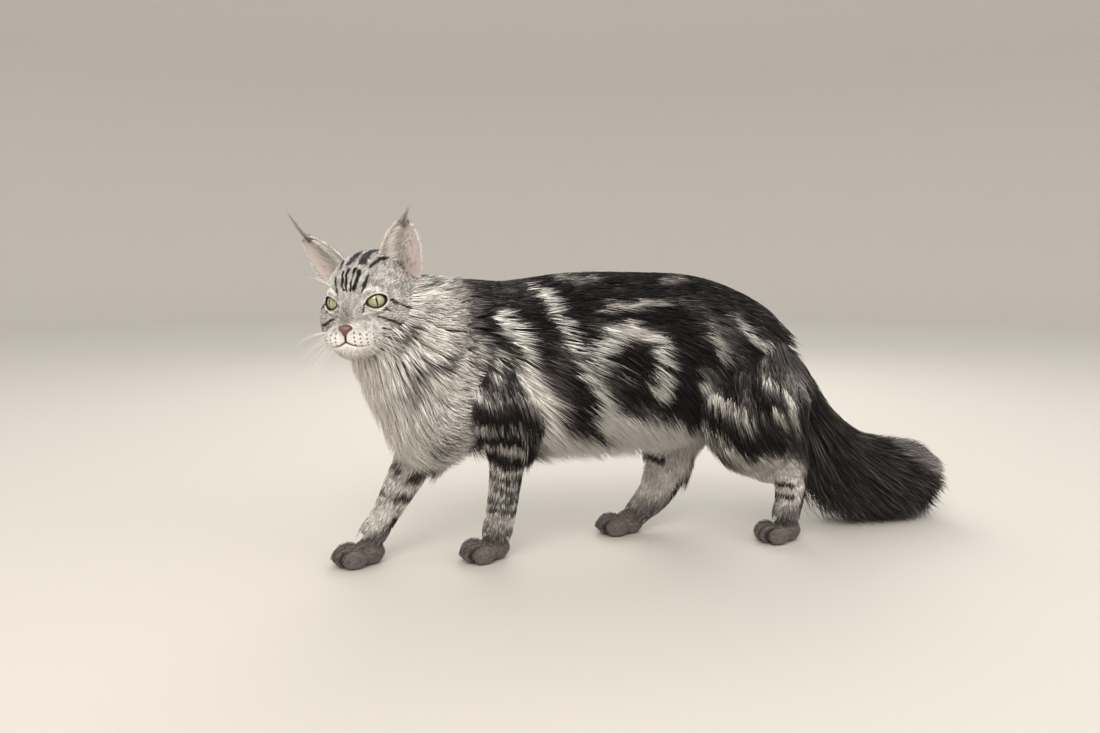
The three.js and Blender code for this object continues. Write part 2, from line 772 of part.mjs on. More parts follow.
// Tail, in three lengths
const plume = (u, counts, run, width, seed) => [
  ...tail.locks({ count: counts[0], u, turn: [BELOW, 0.5], run: [run, 0], rise: [0.1, 1.0],
    width, seed }),
  ...tail.locks({ count: counts[1], u, turn: [RIGHT - 0.3, 0.3], run: [run, -0.25],
    rise: [0.15, 1.05], width, seed: seed + 1 }),
  ...tail.locks({ count: counts[1], u, turn: [LEFT + 0.3, 0.3], run: [run, 0.25],
    rise: [0.15, 1.05], width, seed: seed + 2 }),
  ...tail.locks({ count: counts[1], u, turn: [ABOVE, 0.4], run: [run, 0], rise: [0.15, 1.05],
    width, seed: seed + 3 }),
];
const TAIL_CUTS = [0.36, 0.68];
const tailLength = (from, to) => (grow) => {
  let core = tail.solid(COAT_SHARE, grow);
  if (to < 1) core = splitAt(core, tail, to, grow)[0];
  return from > 0 ? splitAt(core, tail, from, grow)[1] : core;
};
BODY.push(
  { name: "tail_root", core: tailLength(0, TAIL_CUTS[0]), locks: plume([0.22, 0.08], [3, 2], 0.16, 28, 81),
    finish: smokeCoat },
  { name: "tail_middle", core: tailLength(...TAIL_CUTS), locks: plume([0.52, 0.12], [4, 3], 0.16, 36, 85),
    finish: darkCoat },
  { name: "tail_tip", core: tailLength(TAIL_CUTS[1], 1), locks: plume([0.86, 0.1], [4, 3], 0.12, 34, 89),
    finish: smokeCoat },
);

// Each node's core is cut clear of the cores before it. Its locks are cut clear of every other core
// and of the locks before them, and are then joined to it.
const grownCores = BODY.map(({ core }) => core(GAP));
const lockUnion = (locks, grow) => union(locks.map((lock) => lockSolid(lock, grow)));
const grownLocks = BODY.map(({ locks }) => (locks.length ? lockUnion(locks, GAP) : null));
BODY.forEach(({ name, core, whole, locks, finish: look }, i) => {
  let solid = whole ?? core(0);
  for (const before of grownCores.slice(0, i)) solid = solid.subtract(before);
  if (locks.length) {
    let coat = lockUnion(locks, 0);
    grownCores.forEach((other, j) => {
      if (j !== i) coat = coat.subtract(other);
    });
    for (const before of grownLocks.slice(0, i)) if (before) coat = coat.subtract(before);
    solid = solid.add(coat);
  }
  addNode(name, solid, look);
});

export default cat;
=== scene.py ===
"""The looks of a life-size long-haired silver tabby cat that walks with its head turned to its left.

Lengths are in millimetres in the cat's working frame until a mesh is made: -X is ahead, -Y is the
cat's left side and +Z is up. Every surface is a function of numpy arrays, and every tuft of the coat
is a thin closed blade rooted in the skin.
"""

import json
import math

import bpy
import numpy as np
from mathutils import Matrix, Vector

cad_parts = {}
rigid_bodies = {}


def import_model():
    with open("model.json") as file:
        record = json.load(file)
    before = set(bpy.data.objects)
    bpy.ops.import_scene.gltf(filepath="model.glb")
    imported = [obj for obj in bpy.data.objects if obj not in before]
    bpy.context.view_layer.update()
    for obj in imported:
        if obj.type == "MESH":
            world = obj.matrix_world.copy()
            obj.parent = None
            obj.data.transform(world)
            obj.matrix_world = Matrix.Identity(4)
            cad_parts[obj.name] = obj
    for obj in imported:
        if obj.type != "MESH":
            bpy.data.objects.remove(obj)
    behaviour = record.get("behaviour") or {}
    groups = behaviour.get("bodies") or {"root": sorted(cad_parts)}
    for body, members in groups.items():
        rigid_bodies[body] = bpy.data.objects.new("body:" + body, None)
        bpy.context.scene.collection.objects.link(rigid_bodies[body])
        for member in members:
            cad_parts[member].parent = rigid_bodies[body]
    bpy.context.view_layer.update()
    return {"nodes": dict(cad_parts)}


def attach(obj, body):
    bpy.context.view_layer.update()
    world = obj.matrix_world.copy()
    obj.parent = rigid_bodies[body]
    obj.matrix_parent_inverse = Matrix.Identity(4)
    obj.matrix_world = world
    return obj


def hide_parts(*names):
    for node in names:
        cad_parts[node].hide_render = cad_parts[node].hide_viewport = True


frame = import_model()

BOX_MIDDLE = np.array([119.5, -3.7, 0.0])  # middle of the solids' box in the working frame
RNG = np.random.default_rng(7)
TURN = 2 * math.pi


# Curves and noise


def catmull(values, u):
    """Uniform Catmull-Rom curve through the rows of values, at each u from 0 to 1."""
    p = np.asarray(values, float)
    p = np.vstack([2 * p[0] - p[1], p, 2 * p[-1] - p[-2]])
    s = np.clip(np.asarray(u, float), 0, 1) * (len(p) - 3)
    i = np.minimum(s.astype(int), len(p) - 4)
    t = (s - i)[..., None]
    a, b, c, d = p[i], p[i + 1], p[i + 2], p[i + 3]
    return 0.5 * (2 * b + (c - a) * t + (2 * a - 5 * b + 4 * c - d) * t**2 + (3 * b - a - 3 * c + d) * t**3)


def unit(v):
    """Each row of v scaled to length 1."""
    return v / np.maximum(np.linalg.norm(v, axis=-1, keepdims=True), 1e-9)


def smooth(low, high, x):
    """0 below low, 1 above high and 3 t^2 - 2 t^3 between. With low above high it falls instead."""
    t = np.clip((x - low) / (high - low), 0, 1)
    return t * t * (3 - 2 * t)


def hash3(cell, seed):
    """A repeatable number from 0 to 1 for each row of three whole numbers."""
    n = (cell * np.array([73856093, 19349663, 83492791])).sum(-1) + seed * 2654435761
    n = (n ^ (n >> 13)) * 1274126177 & 0x7FFFFFFF
    return ((n ^ (n >> 16)) & 0xFFFF) / 65535.0


def noise(p, scale, seed):
    """Smooth value noise from -1 to 1: a blend of the hashes at the eight corners of each cell."""
    q = p / scale
    i = np.floor(q).astype(np.int64)
    f = q - i
    f = f * f * (3 - 2 * f)
    total = 0.0
    for corner in np.ndindex(2, 2, 2):
        c = np.array(corner)
        total = total + hash3(i + c, seed) * np.prod(np.where(c == 1, f, 1 - f), axis=-1)
    return 2 * total - 1


# The body's lengths


class Limb:
    """A ring of varying radii carried along a path. Stations are (point, flesh, coat), with flesh and
    coat as [side, upper, lower]. Upper is the path's direction times +Y."""

    def __init__(self, name, stations):
        """Keeps the stations as arrays and measures the path."""
        self.name = name
        self.at, self.flesh, self.coat = (np.array([s[k] for s in stations], float) for k in range(3))
        p = catmull(self.at, np.linspace(0, 1, 200))
        self.length = np.linalg.norm(np.diff(p, axis=0), axis=1).sum()

    def frame(self, u):
        """Centre, direction, side and upper at each u."""
        along = unit(catmull(self.at, u + 1e-3) - catmull(self.at, u - 1e-3))
        side = unit(np.array([0.0, 1, 0]) - along * along[..., 1:2])
        return catmull(self.at, u), along, side, np.cross(along, side)

    def point(self, u, turn, share):
        """Centre + side cos(turn) (flesh + share coat) + upper sin(turn) (flesh + share coat). Past
        the end it runs on along the last direction and narrows as exp(-3 (u - 1))."""
        u, turn, share = np.broadcast_arrays(*(np.asarray(v, float) for v in (u, turn, share)))
        inner = np.clip(u, 0, 1)
        _, along, side, upper = self.frame(np.clip(u, 1e-3, 1 - 1e-3))
        radius = catmull(self.flesh, inner) + share[..., None] * catmull(self.coat, inner)
        c, s = np.cos(turn), np.sin(turn)
        vertical = np.where(s > 0, radius[..., 1], radius[..., 2])
        past = np.maximum(u - 1, 0)
        narrow = np.exp(-3 * past)
        ring = side * (c * radius[..., 0])[..., None] + upper * (s * vertical)[..., None]
        return catmull(self.at, inner) + ring * narrow[..., None] + along * (past * self.length)[..., None]

    def normal(self, u, turn, share=0.5):
        """The outward direction of the surface: the cross product of its two slopes."""
        h = 0.01
        a = self.point(np.minimum(u + h, 1), turn, share) - self.point(np.maximum(u - h, 0), turn, share)
        b = self.point(u, turn + h, share) - self.point(u, turn - h, share)
        return unit(np.cross(b, a))

    def depth_ratio(self, p):
        """How far each point lies from the path, as a share of the flesh's radius at the nearest
        place: under 1 is inside."""
        u = np.linspace(0, 1, 40)
        centre, along, side, upper = self.frame(u)
        radius = catmull(self.flesh, u)
        d = p[:, None, :] - centre[None]
        s, v, a = ((d * axis[None]).sum(-1) for axis in (side, upper, along))
        vertical = np.where(v > 0, radius[None, :, 1], radius[None, :, 2])
        gap = self.length / 39
        return (np.sqrt((s / radius[None, :, 0]) ** 2 + (v / vertical) ** 2 + (a / (gap * 1.2)) ** 2)).min(1)

    def skin(self, rings, sides):
        """The closed surface at the flesh, with a shallow dome at each end, as (points, faces)."""
        turn = np.arange(sides) / sides * TURN
        u = np.linspace(0, 1, rings)
        body = self.point(u[:, None], turn[None, :], 0.0)
        ends = []
        for end, way in ((0.0, -1), (1.0, 1)):
            centre, along, _, _ = self.frame(np.array([end]))
            low = self.flesh[0 if end == 0 else -1].min() * 0.45
            ring = centre + (self.point(end, turn, 0.0) - centre) * 0.72 + along * way * low * 0.7
            ends.append((ring, (centre + along * way * low)))
        points = np.vstack([ends[0][1], ends[0][0], body.reshape(-1, 3), ends[1][0], ends[1][1]])
        return points, capped_grid(rings + 2, sides)


def capped_grid(rings, sides):
    """Faces of a closed skin: a first point, rings of sides points each and a last point."""
    i = np.arange(sides)
    j = (i + 1) % sides
    faces = [[0, 1 + b, 1 + a] for a, b in zip(i, j)]
    for r in range(rings - 1):
        base = 1 + r * sides
        faces += [[base + a, base + b, base + sides + b, base + sides + a] for a, b in zip(i, j)]
    last = 1 + rings * sides
    base = last - sides
    faces += [[base + a, base + b, last] for a, b in zip(i, j)]
    return faces


TORSO = Limb("torso", [
    ([-178, 0, 232], [34, 66, 44], [14, 8, 26]),
    ([-140, 0, 246], [46, 80, 62], [16, 8, 34]),
    ([-80, 0, 246], [54, 79, 68], [18, 8, 42]),
    ([0, 0, 248], [58, 86, 66], [20, 8, 46]),
    ([80, 0, 252], [57, 82, 64], [22, 8, 50]),
    ([150, 0, 250], [54, 78, 60], [22, 9, 48]),
    ([215, 0, 236], [50, 66, 56], [18, 10, 34]),
    ([258, 0, 222], [34, 48, 40], [14, 12, 24]),
])
NECK = Limb("neck", [
    ([-236, -24, 300], [34, 36, 26], [16, 10, 10]),
    ([-212, -14, 279], [38, 44, 34], [30, 34, 18]),
    ([-184, -6, 257], [42, 58, 44], [32, 36, 30]),
    ([-150, 0, 240], [44, 68, 54], [26, 22, 50]),
    ([-108, 0, 232], [44, 60, 54], [16, 8, 24]),
])
TAIL = Limb("tail", [
    ([262, 0, 246], [15, 15, 15], [14, 12, 22]),
    ([296, 1, 204], [12, 12, 12], [22, 13, 30]),
    ([334, 3, 148], [10, 10, 10], [30, 17, 46]),
    ([384, 6, 104], [8, 8, 8], [36, 24, 62]),
    ([440, 9, 80], [6, 6, 6], [38, 32, 60]),
    ([490, 11, 66], [4.5, 4.5, 4.5], [36, 38, 50]),
    ([526, 12, 56], [3, 3, 3], [24, 26, 32]),
])
FORE_LEFT = Limb("foreleg_left", [
    ([-118, -36, 250], [20, 34, 30], [10, 10, 10]),
    ([-100, -44, 206], [22, 34, 34], [12, 14, 12]),
    ([-88, -40, 162], [19, 26, 25], [9, 14, 12]),
    ([-86, -30, 118], [15, 17, 17], [6, 9, 7]),
    ([-89, -17, 66], [13, 15, 15], [5, 7, 6]),
    ([-94, -9, 34], [15, 17, 15], [5, 5, 5]),
])
FORE_RIGHT = Limb("foreleg_right", [
    ([-134, 34, 246], [20, 34, 30], [10, 10, 10]),
    ([-142, 40, 204], [22, 33, 32], [12, 14, 12]),
    ([-164, 34, 156], [18, 26, 24], [9, 14, 12]),
    ([-192, 26, 108], [15, 19, 18], [6, 11, 9]),
    ([-220, 21, 60], [13, 14, 14], [5, 6, 5]),
    ([-238, 18, 34], [15, 15, 14], [5, 5, 5]),
])
HIND_LEFT = Limb("hindleg_left", [
    ([226, -26, 252], [26, 44, 44], [10, 14, 8]),
    ([222, -44, 204], [27, 54, 66], [12, 20, 18]),
    ([226, -50, 160], [22, 46, 54], [12, 22, 20]),
    ([256, -50, 116], [17, 27, 38], [8, 14, 16]),
    ([274, -47, 88], [14, 19, 23], [6, 8, 10]),
    ([276, -44, 60], [13, 16, 15], [6, 7, 7]),
    ([274, -39, 32], [15, 16, 14], [5, 5, 5]),
])
HIND_RIGHT = Limb("hindleg_right", [
    ([210, 26, 252], [26, 44, 42], [10, 14, 8]),
    ([186, 44, 204], [27, 52, 46], [12, 20, 14]),
    ([158, 50, 158], [22, 44, 38], [12, 22, 12]),
    ([148, 50, 112], [17, 28, 28], [8, 12, 12]),
    ([144, 47, 82], [15, 28, 25], [6, 12, 10]),
    ([128, 44, 52], [13, 23, 18], [6, 10, 7]),
    ([106, 43, 26], [15, 14, 15], [5, 4, 5]),
])
LEGS = [FORE_LEFT, FORE_RIGHT, HIND_LEFT, HIND_RIGHT]
PAWS = [  # place on the floor, heading in degrees and length, in the order of the legs
    ((-106, -7), 196, 50),
    ((-252, 17), 193, 50),
    ((266, -39), 186, 48),
    ((84, 46), 180, 50),
]


# The head, in its own frame

HEAD_AT = (-240, -31, 313)
HEAD_FRAME = (
    Matrix.Translation(HEAD_AT)
    @ Matrix.Rotation(math.radians(241.5), 4, "Z")
    @ Matrix.Rotation(math.radians(2), 4, "Y")
    @ Matrix.Rotation(math.radians(3.5), 4, "X")
)
EYE = np.array([24.5, 20.6, 0.0])  # the middle of the left eyeball
EYE_RADIUS = 12.2
HEAD_CORE = np.array([-4.0, 0, -10])  # the place that every ray to the head's surface starts from
HEAD_MASSES = [  # centre and radii of the rounded masses, mirrored where they are off the middle
    ((-14, 0, 8), (49, 42, 41)),  # cranium
    ((14, 0, 14), (25, 31, 20)),  # brow
    ((-2, 30, -18), (29, 22, 26)),  # cheek
    ((32, 0, -10), (25, 11.5, 16)),  # bridge
    ((43, 12.5, -35), (16.5, 16.5, 11.5)),  # whisker pad
    ((37, 0, -46.5), (15, 13, 8)),  # chin
    ((8, 0, -38), (32, 25, 16)),  # jaw
    ((-30, 0, -16), (30, 34, 38)),  # nape
]


def apply(matrix, p):
    """Points moved by a 4 x 4 matrix."""
    m = np.array(matrix)
    return p @ m[:3, :3].T + m[:3, 3]


def turned(matrix, v):
    """Directions turned by a 4 x 4 matrix."""
    return v @ np.array(matrix)[:3, :3].T


def eye_axes(side):
    """The way an eye looks, and its horizontal and upright axes. The openings slant up outwards."""
    look = unit(np.array([0.86, side * 0.5, 0.02]))
    across = unit(np.cross([0, 0, 1.0], look)) * side
    up = np.cross(look, across) * side
    slant = math.radians(9)
    c, s = math.cos(slant), math.sin(slant)
    return look, across * c + up * s, up * c - across * s


def eye_oval(p, side):
    """Under 1 in the opening between the lids: a rounded almond, pointed towards the nose."""
    look, across, up = eye_axes(side)
    d = p - EYE * [1, side, 1]
    h, v, ahead = d @ across, d @ up, d @ look
    high = np.where(v > 0, 6.0, 6.5) * np.where(h < 0, 1 - 0.35 * (np.clip(-h, 0, 13) / 13) ** 2, 1)
    return np.sqrt((h / 9.9) ** 2 + (v / high) ** 2), ahead


def head_field(p):
    """Negative inside. The masses blend as -log(sum(exp(-k d))) / k. Each eye adds a ball for its
    lids, and the opening is taken away in front of the eye."""
    total = 0.0
    for at, size in HEAD_MASSES:
        for side in (1, -1) if at[1] else (1,):
            d = (p - np.array([at[0], side * at[1], at[2]])) / np.array(size, float)
            total = total + np.exp(-0.22 * (np.linalg.norm(d, axis=-1) - 1) * min(size))
    field = -np.log(total) / 0.22
    for side in (1, -1):
        r = np.linalg.norm(p - EYE * [1, side, 1], axis=-1)
        lids = r - (EYE_RADIUS + 1.5)
        k = 0.45
        field = -np.log(np.exp(-k * field) + np.exp(-k * lids)) / k
        oval, ahead = eye_oval(p, side)
        carve = np.maximum(np.maximum((oval - 1) * 9, 10.4 - r), -ahead)
        field = np.maximum(field, -carve)
    return field


def head_reach(direction):
    """Where each ray from the head's core leaves the field, by 26 halvings."""
    low, high = np.full(len(direction), 2.0), np.full(len(direction), 110.0)
    for _ in range(26):
        middle = (low + high) / 2
        inside = head_field(HEAD_CORE + direction * middle[:, None]) < 0
        low, high = np.where(inside, middle, low), np.where(inside, high, middle)
    return HEAD_CORE + direction * high[:, None]


def distance_to(p, line):
    """Distance from each point to a line through the given points, and how far along it, 0 to 1."""
    line = np.asarray(line, float)
    best = np.full(len(p), 1e9)
    share = np.zeros(len(p))
    for k, (a, b) in enumerate(zip(line[:-1], line[1:])):
        t = np.clip(((p - a) @ (b - a)) / max((b - a) @ (b - a), 1e-9), 0, 1)
        d = np.linalg.norm(p - a - t[:, None] * (b - a), axis=-1)
        near = d < best
        best, share = np.where(near, d, best), np.where(near, (k + t) / (len(line) - 1), share)
    return best, share


MOUTH = [(63, 0.2, -32), (62, 0.4, -39.5), (60.5, 6.5, -42.5), (56, 14, -43.5), (49, 21, -42)]


def whisker_place(row, column):
    """Where a whisker grows: four rows on each pad, each running back and outwards."""
    return np.array([57.5 - 3.6 * column - 0.8 * row, 9.5 + 5.0 * column, -28.5 - 3.4 * row - 0.5 * column])


def on_ball(p):
    """Places on the head as seen from its core, on a ball 56 mm in radius, so that only the direction
    counts."""
    return unit(np.asarray(p, float) - HEAD_CORE) * 56


def mirrored(p):
    """Points with the right half folded onto the left."""
    return p * np.array([1, 0, 1]) + np.abs(p) * np.array([0, 1, 0])


def head_points(direction):
    """The head's skin: the field's surface, pressed in along the mouth, below the nose and beside it,
    and puckered where the whiskers grow."""
    p = head_reach(direction)
    q = on_ball(mirrored(p))
    d, share = distance_to(q, on_ball(MOUTH))
    press = 2.4 * np.exp(-((d / 1.3) ** 2)) * (1 - 0.55 * share)
    for row, column in np.ndindex(4, 4):
        d = np.linalg.norm(q - on_ball(whisker_place(row, column)), axis=-1)
        press = press - 0.55 * np.exp(-((d / 1.6) ** 2))
    return p - direction * press[:, None]


def head_directions(rings, sides):
    """Rays in rings about the forward axis, closer together towards the nose."""
    polar = math.pi * (np.arange(1, rings) / rings) ** 1.2
    turn = np.arange(sides) / sides * TURN
    a, b = np.meshgrid(polar, turn, indexing="ij")
    d = np.stack([np.cos(a), np.sin(a) * np.cos(b), np.sin(a) * np.sin(b)], -1).reshape(-1, 3)
    return np.vstack([[1, 0, 0], d, [-1, 0, 0]])


EAR = {"width": 44, "height": 56, "wall": 1.6, "depth": 15}
EAR_SET = {  # by side, 1 for the left: place on the head, lean, outward turn and nod in degrees
    1: ((-14, 35, 28), 10, 14, 12),
    -1: ((-10, -33, 25), 27, 26, 14),
}


def ear_frame(side):
    """Where an ear stands: it leans away from the middle, turns outwards and nods forward."""
    at, lean, outward, nod = EAR_SET[side]
    rotation = Matrix.Rotation
    return (
        HEAD_FRAME
        @ Matrix.Translation(at)
        @ rotation(math.radians(-side * lean), 4, "X")
        @ rotation(math.radians(side * outward), 4, "Z")
        @ rotation(math.radians(nod), 4, "Y")
    )


def ear_point(s, t, side, back):
    """The cup at s across, -1 to 1, and t up, 0 to 1: half width (1 - t^2.2)^0.7, bowed back by
    depth (1 - s^2)(1 - 0.75 t), with back as a share of the wall."""
    half = EAR["width"] / 2 * (1 - np.clip(t, 0, 1) ** 2.2) ** 0.7 + 1.2
    bow = EAR["depth"] * (1 - s * s) * (1 - 0.75 * t)
    lean = side * np.where(s > 0, 1.5, 3) * t * t
    rim = 1 - s**6
    return np.stack([-bow - back * EAR["wall"] * (1 - 0.6 * t) * rim, s * (half + 0.3 * back) + lean,
                     EAR["height"] * t], -1)


# Markings

BLACK, DARK, MID, PALE, WHITE = 0.0, 0.16, 0.45, 0.78, 1.0
SIDE_MARKS = [  # on each side of the trunk: tone, half width, places as (x, z)
    (DARK, 26, [(-130, 318), (-95, 318), (-60, 305)]),
    (BLACK, 13, [(-110, 285), (-55, 292), (-62, 262)]),
    (MID, 11, [(-135, 315), (-150, 260), (-172, 222)]),
    (BLACK, 16, [(-30, 320), (-15, 255), (-10, 185)]),
    (BLACK, 17, [(95, 292), (115, 262), (118, 228), (104, 190)]),
    (BLACK, 11, [(-12, 303), (35, 292), (95, 296)]),
    (BLACK, 18, [(36, 250), (54, 232), (50, 210)]),
    (BLACK, 9, [(-95, 205), (-70, 175)]),
    (BLACK, 9, [(-5, 200), (10, 165)]),
    (PALE, 6, [(-125, 268), (-125, 250)]),
    (PALE, 6, [(-105, 250), (-104, 228)]),
    (PALE, 7, [(-142, 226), (-128, 208)]),
    (WHITE, 8, [(-97, 292), (-80, 258), (-60, 212), (-35, 155)]),
    (WHITE, 5, [(-52, 322), (-42, 300), (-26, 262), (-14, 232)]),
    (WHITE, 7, [(12, 195), (0, 232), (2, 260), (22, 276), (48, 279), (74, 264), (84, 238), (80, 205)]),
    (PALE, 3, [(35, 238), (36, 229)]),
    (PALE, 3, [(12, 301), (28, 306)]),
    (PALE, 3, [(36, 301), (90, 306)]),
    (WHITE, 12, [(15, 180), (65, 165), (125, 158)]),
    (PALE, 4, [(140, 285), (160, 262), (165, 235)]),
    (PALE, 4, [(180, 290), (205, 262), (240, 250)]),
    (MID, 3, [(100, 330), (135, 331)]),
    (MID, 3, [(-20, 332), (20, 334)]),
]
THIGH_MARKS = [  # on the thighs, in the same form
    (BLACK, 7, [(143, 252), (150, 240)]),
    (BLACK, 9, [(170, 230), (176, 206)]),
    (BLACK, 7, [(195, 252), (206, 240)]),
    (BLACK, 10, [(124, 205), (138, 172)]),
    (BLACK, 11, [(160, 182), (188, 145), (206, 128)]),
    (BLACK, 6, [(205, 200), (222, 180)]),
    (BLACK, 7, [(215, 152), (246, 132)]),
    (BLACK, 6, [(196, 108), (222, 100), (246, 106)]),
    (PALE, 5, [(180, 128), (205, 112), (235, 118)]),
    (PALE, 4, [(222, 215), (248, 190), (262, 160)]),
    (PALE, 4, [(228, 180), (245, 160)]),
    (PALE, 5, [(138, 218), (160, 195), (196, 166)]),
    (PALE, 4, [(150, 160), (175, 140)]),
]
FORE_LEFT_MARKS = [  # on each leg, in the same form
    (BLACK, 11, [(-122, 188), (-55, 180)]),
    (BLACK, 7, [(-120, 160), (-50, 154)]),
    (BLACK, 8, [(-112, 134), (-58, 124)]),
    (DARK, 3, [(-108, 109), (-60, 103)]),
    (DARK, 3.5, [(-100, 92), (-64, 87)]),
    (DARK, 2.5, [(-108, 77), (-66, 73)]),
    (DARK, 2.5, [(-100, 63), (-66, 59)]),
    (BLACK, 7, [(-56, 150), (-64, 90), (-70, 30)]),
]
FORE_RIGHT_MARKS = [
    (BLACK, 9, [(-212, 168), (-178, 148)]),
    (DARK, 2.5, [(-222, 120), (-206, 112)]),
    (DARK, 2.5, [(-236, 92), (-222, 84)]),
    (BLACK, 7, [(-150, 150), (-166, 114)]),
    (DARK, 3.5, [(-174, 98), (-192, 100)]),
    (DARK, 3.5, [(-190, 74), (-206, 78)]),
    (BLACK, 4.5, [(-208, 50), (-218, 34)]),
]
HIND_LEFT_MARKS = [
    (BLACK, 6, [(291, 135), (296, 85), (292, 22)]),
    (DARK, 3, [(250, 80), (268, 74)]),
    (DARK, 3, [(252, 62), (270, 58)]),
]
HIND_RIGHT_MARKS = [
    (BLACK, 9, [(186, 100), (176, 66), (150, 30), (120, 4)]),
    (DARK, 4, [(108, 104), (135, 96)]),
]


BACK = (298, 322)  # heights between which the sides turn to the black back
BELLY = (148, 186)  # heights between which the cream belly turns to the sides
PAW_DARK = (26, 60)  # heights between which a dark paw turns to the pale leg


def paint(tone, p, marks, ragged=1.0):
    """Tone with each mark laid over it. A mark is soft at its edge, and the places are stirred by
    noise so that its edges are ragged."""
    q = p[:, [0, 2]] + 5 * np.stack([noise(p, 22.0, 3), noise(p, 22.0, 4)], -1)
    q = q + ragged * 2.5 * np.stack([noise(p, 6.0, 5), noise(p, 6.0, 6)], -1)
    for value, half, line in marks:
        d, _ = distance_to(q, line)
        edge = half * 0.35 + 2.5
        tone = tone + (value - tone) * (1 - smooth(half - edge * 0.6, half + edge, d))
    return tone


def body_tone(p, belly=1.0):
    """The trunk's tone: dark along the back, mottled on the sides, with the marks, and cream below by
    the share in belly."""
    z = p[:, 2] + 6 * noise(p, 30.0, 8)
    mottle = 0.5 + 0.5 * noise(p * [1, 1, 0.6], 17.0, 9)
    tone = 0.08 + 0.36 * mottle**2
    tone = tone + (0.03 - tone) * smooth(*BACK, z)
    tone = tone + belly * (0.97 - tone) * (1 - smooth(*BELLY, z)) * smooth(-75, -45, p[:, 0])
    tone = paint(tone, p, SIDE_MARKS)
    return paint(tone, p, THIGH_MARKS)


def neck_tone(p):
    """The ruff's tone: cream with smoky necklaces, turning to the body's tone on the nape."""
    mottle = noise(p * [1, 1, 0.5], 14.0, 12)
    tone = 0.93 + 0.12 * mottle
    band = np.sin((p[:, 0] * 0.75 - p[:, 2] * 0.66) / 9.5 + 1.5 * noise(p, 26.0, 14))
    patch = smooth(-0.2, 0.5, noise(p, 34.0, 13))
    tone = tone - 0.6 * smooth(0.5, 0.95, band) * patch * smooth(-262, -225, p[:, 0])
    front = smooth(-185, -225, p[:, 0] + 0.25 * (p[:, 2] - 200))
    tone = tone + (1.0 - tone) * 0.9 * np.clip(front, 0, 1)
    back = smooth(-162, -118, p[:, 0]) * smooth(225, 300, p[:, 2])
    return tone + (body_tone(p) - tone) * np.clip(back, 0, 1)


def leg_tone(p, marks, upper):
    """A leg's tone: the body's above the height upper, then pale silver with bands, and dark grey
    near the paw."""
    mottle = noise(p, 9.0, 15)
    tone = 0.82 + 0.16 * mottle
    tone = paint(tone, p, marks, 1.5)
    tone = tone + (0.35 - tone) * (1 - smooth(*PAW_DARK, p[:, 2] + 7 * mottle))
    return tone + (body_tone(p, 0.0) - tone) * smooth(upper - 25, upper + 15, p[:, 2])


def tail_tone(p):
    """The tail's tone: charcoal, paler at its base and near the top of the end."""
    tone = 0.13 + 0.1 * noise(p, 20.0, 17)
    tone = tone + 0.34 * (1 - smooth(5, 24, distance_to(p[:, [0, 2]], [(470, 106), (530, 70)])[0]))
    return tone + 0.3 * (1 - smooth(4, 22, distance_to(p[:, [0, 2]], [(283, 232), (300, 190)])[0]))


FACE_MARKS = [  # tone, half width, places on the head as (x, |y|, z), the same on both sides
    (BLACK, 1.0, [(42, 2, 13), (39, 3, 23), (28, 4, 35)]),
    (BLACK, 1.2, [(41, 6, 13), (38, 8, 23), (30, 9, 32)]),
    (DARK, 1.1, [(39, 14, 11), (36, 16, 19), (31, 18, 27)]),
    (DARK, 3.4, [(18, 7, 40), (6, 6, 45), (-14, 6, 50)]),
    (DARK, 1.6, [(22, 17, 35), (4, 20, 40), (-16, 24, 42)]),
    (DARK, 3.0, [(-14, 6, 50), (-40, 6, 38), (-54, 6, 8)]),
    (DARK, 2.4, [(-16, 24, 42), (-38, 26, 25), (-50, 24, 0)]),
    (DARK, 1.2, [(24, 35, 3), (19, 39, -3), (12, 48, -9), (-6, 54, -14)]),
    (DARK, 1.3, [(31, 26, -17), (24, 39, -23), (8, 48, -30), (-8, 50, -38)]),
    (DARK, 1.1, [(30, 31, -31), (20, 38, -34)]),
    (DARK, 1.8, [(29, 29, -7), (25, 37, -13)]),
    (PALE, 3.0, [(28, 30, -13), (18, 44, -17)]),
    (WHITE, 1.3, [(39, 13, -13), (36, 19, -11.5), (31, 28, -9.5), (26, 35, -4)]),
    (WHITE, 1.5, [(38, 16, 10), (35, 23, 14), (31, 30, 12)]),
    (PALE, 2.6, [(30, 24, 22), (22, 30, 26)]),
]


